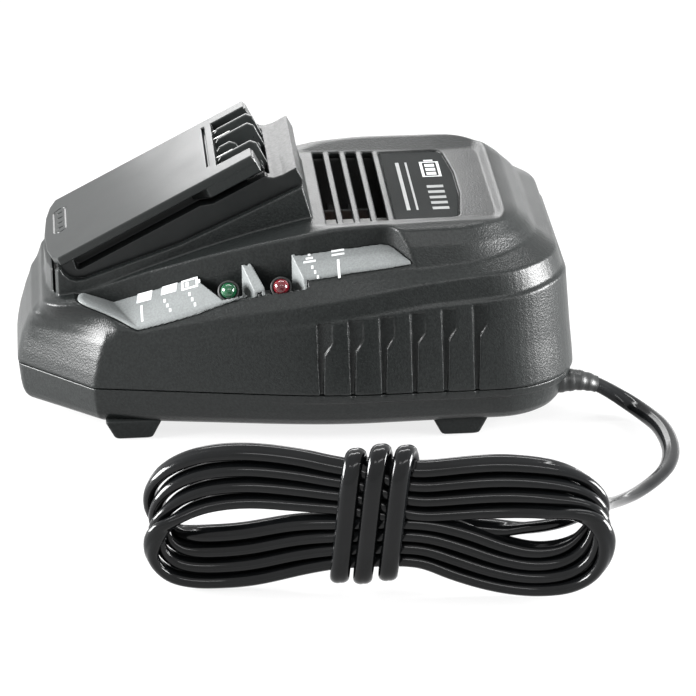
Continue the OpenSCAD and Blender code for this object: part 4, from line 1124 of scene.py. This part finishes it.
def eased_curve(points, gap=1.2, reach=2.4):
    """A smooth curve through unevenly spaced points whose first three columns are a place, sampled
    at an even gap, with its bends rounded over a reach and its ends kept."""
    chord = np.linalg.norm(np.diff(points[:, :3], axis=0), axis=1)
    at = np.concatenate([[0], np.cumsum(chord)])
    slope = np.gradient(points, at, axis=0)
    t = np.linspace(0, at[-1], int(at[-1] / gap) + 1)
    i = np.clip(np.searchsorted(at, t, side="right") - 1, 0, len(points) - 2)
    h = chord[i][:, None]
    s = (t - at[i])[:, None] / h
    curve = points[i] * (1 + 2 * s) * (1 - s) ** 2 + slope[i] * h * s * (1 - s) ** 2 \
        + points[i + 1] * s * s * (3 - 2 * s) - slope[i + 1] * h * s * s * (1 - s)
    n = int(3 * reach / gap)
    weights = np.exp(-0.5 * (np.arange(-n, n + 1) * gap / reach) ** 2)
    padded = np.pad(curve, ((n, n), (0, 0)), mode="reflect", reflect_type="odd")
    return np.stack([np.convolve(padded[:, k], weights / weights.sum(), "valid") for k in range(curve.shape[1])], 1)


def lead_section(grow=0.0, groove=0.3, sides=24):
    """Outline of the flat twin lead: two round cores side by side, with a shallow groove between them."""
    made = []
    for i in range(sides):
        c, s = math.cos(2 * math.pi * i / sides), math.sin(2 * math.pi * i / sides)
        cores = LOBE_OUT * abs(c) + math.sqrt(LOBE_R ** 2 - (LOBE_OUT * s) ** 2)
        oval = 1 / math.hypot(c / (LEAD_W / 2), s / LOBE_R)
        reach = groove * cores + (1 - groove) * oval + grow
        made.append((reach * c, reach * s))
    return np.array(made)


def swept(name, path, wide, sections, material):
    """A skin swept along a path, with the direction of its width and its outline given at each point."""
    heading = np.gradient(path, axis=0)
    heading /= np.linalg.norm(heading, axis=1, keepdims=True)
    wide = wide - (wide * heading).sum(1, keepdims=True) * heading
    wide /= np.linalg.norm(wide, axis=1, keepdims=True)
    thick = np.cross(heading, wide)
    rings = path[:, None, :] + sections[:, :, :1] * wide[:, None, :] + sections[:, :, 1:] * thick[:, None, :]
    n, m = sections.shape[:2]
    i, k = np.meshgrid(np.arange(n - 1), np.arange(m), indexing="ij")
    j = (k + 1) % m
    quads = np.stack([i * m + k, i * m + j, (i + 1) * m + j, (i + 1) * m + k], -1).reshape(-1, 4)
    return mesh_object(name, rings.reshape(-1, 3) * MM, quads, material)


# Strain relief: x where it starts in the housing, radius there, how far it goes along the lead, its rings
BOOT_X, BOOT_R, BOOT_ALONG, BOOT_RINGS = 66.6, 4.1, 9.0, 4


def make_boot(path, wide):
    start = np.array(LEAD_ROUTE[0], float)
    inner = np.array([(x, start[1], start[2]) for x in np.arange(BOOT_X, start[0], 0.4)])
    outer = path[:int(BOOT_ALONG / 1.2)]
    outer = np.stack([np.interp(np.arange(0, len(outer) - 1, 0.33), np.arange(len(outer)), outer[:, k])
                      for k in range(3)], 1)
    line = np.concatenate([inner, outer])
    share = np.clip((np.arange(len(line)) - len(inner) + 12) / (len(outer) + 12), 0, 1)
    turn = np.linspace(0, 2 * math.pi, 24, endpoint=False)
    round_end = np.stack([BOOT_R * np.cos(turn), BOOT_R * np.sin(turn)], 1)
    sections = round_end[None] * (1 - share)[:, None, None] + lead_section(0.35)[None] * share[:, None, None]
    wave = 0.5 - 0.5 * np.cos(share * BOOT_RINGS * 2 * math.pi)
    sections *= (1 - 0.05 * np.clip(wave * 3 - 1, 0, 1))[:, None, None]
    boot = swept("lead_boot", line, np.tile(wide[0], (len(line), 1)), sections, MATERIALS["plug"])
    belongs(boot, "lead_jacket", "strain_relief")


def make_lead():
    route, widths = lead_centreline()
    curve = eased_curve(np.concatenate([route, widths], 1))
    path, wide = curve[:, :3], curve[:, 3:]
    lead = swept("mains_lead", path, wide, np.tile(lead_section(), (len(path), 1, 1)), MATERIALS["lead"])
    belongs(lead, "lead_jacket", "cord_lead", "cord_hank", "cord_tail")
    make_boot(path, wide)


def dress_nodes():
    for node, look in NODE_LOOKS.items():
        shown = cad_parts[node]
        shown.data.materials.clear()
        shown.data.materials.append(MATERIALS[look])


# ---- Stage -------------------------------------------------------------------
# Floor: tone for light that bounces off it, share of its own light where it is seen, half side, depth
FLOOR_BOUNCE, FLOOR_GLOW, FLOOR_HALF, FLOOR_DROP = 0.07, 0.80, 4.0, 0.0002
WORLD_FILL = 0.08


def seen_rays(tree):
    """One for the rays that show the background: from the camera, in a reflection or through glass."""
    paths = tree.nodes.new("ShaderNodeLightPath")
    seen = paths.outputs["Is Camera Ray"]
    for name in ("Is Glossy Ray", "Is Transmission Ray"):
        either = tree.nodes.new("ShaderNodeMath")
        either.operation = "MAXIMUM"
        tree.links.new(seen, either.inputs[0])
        tree.links.new(paths.outputs[name], either.inputs[1])
        seen = either.outputs[0]
    return seen


def make_world():
    world = bpy.data.worlds.new("studio")
    bpy.context.scene.world = world
    world.use_nodes = True
    tree = world.node_tree
    seen = seen_rays(tree)
    level = tree.nodes.new("ShaderNodeMapRange")
    level.inputs["To Min"].default_value = WORLD_FILL
    level.inputs["To Max"].default_value = 1.0
    tree.links.new(seen, level.inputs["Value"])
    tree.links.new(level.outputs["Result"], tree.nodes["Background"].inputs["Strength"])
    tree.nodes["Background"].inputs["Color"].default_value = (1, 1, 1, 1)


def make_floor():
    s = Shader("floor_white")
    s.set(Roughness=0.6)
    seen = seen_rays(s.tree)
    near = s.shades(s.noise(3, 2, 0.5), (0.93, 0.93, 0.93), (0.95, 0.95, 0.95))
    tone = s.node("ShaderNodeMix", data_type="RGBA")
    s.link(seen, tone.inputs[0])
    tone.inputs[6].default_value = (FLOOR_BOUNCE, FLOOR_BOUNCE, FLOOR_BOUNCE, 1)
    s.link(near, tone.inputs[7])
    s.colour(tone.outputs[2])
    glow = s.node("ShaderNodeEmission")
    glow.inputs["Strength"].default_value = 1.0
    mix = s.node("ShaderNodeMixShader")
    share = s.spread(seen, 0, 1, 0, FLOOR_GLOW)
    s.link(share, mix.inputs["Fac"])
    s.link(s.skin.outputs["BSDF"], mix.inputs[1])
    s.link(glow.outputs["Emission"], mix.inputs[2])
    s.link(mix.outputs["Shader"], s.out.inputs["Surface"])
    points = np.array([(-1, -1, 0), (1, -1, 0), (1, 1, 0), (-1, 1, 0)]) * FLOOR_HALF
    floor = mesh_object("floor", points, [(0, 1, 2, 3)], s.material, smooth=False)
    floor.location.z = -FLOOR_DROP


def area_light(name, at, toward, size, brightness):
    """A softbox of a given size in metres and brightness of its face."""
    data = bpy.data.lights.new(name, "AREA")
    data.shape = "RECTANGLE"
    data.size, data.size_y = size
    data.energy = brightness * math.pi * size[0] * size[1]
    light = bpy.data.objects.new(name, data)
    light.location = at
    light.visible_camera = False
    light.rotation_euler = (Vector(toward) - Vector(at)).to_track_quat("-Z", "Y").to_euler()
    bpy.context.scene.collection.objects.link(light)


AIM = (0.0, -0.05, 0.04)
SLIDE_AIM = (-0.02, 0, 0.085)
# Softboxes: place, what each is turned to, width and height in metres, brightness of its face
LIGHTS = (
    ("back_low_panel", (0.42, 1.1, 0.03), AIM, (0.8, 0.08), 3.4),
    ("slide_strip", (-0.018, 0.27, 0.165), SLIDE_AIM, (0.19, 0.11), 4.8),
    ("top_strip", (0.02, 0.33, 0.98), AIM, (1.1, 0.10), 19),
    ("front_strip", (0.1, -0.84, 0.74), AIM, (0.9, 0.09), 11),
    ("left_softbox", (-0.8, -0.05, 0.24), AIM, (0.52, 0.34), 50),
    ("right_softbox", (0.92, -0.22, 0.19), AIM, (0.56, 0.46), 50),
)

make_camera()
make_lead()
make_housing()
make_panel()
make_shoe()
make_panel_marks()
make_label()
make_lamps()
make_feet()
dress_nodes()
make_world()
make_floor()
for light in LIGHTS:
    area_light(*light)
bpy.context.scene.view_settings.view_transform = "Standard"
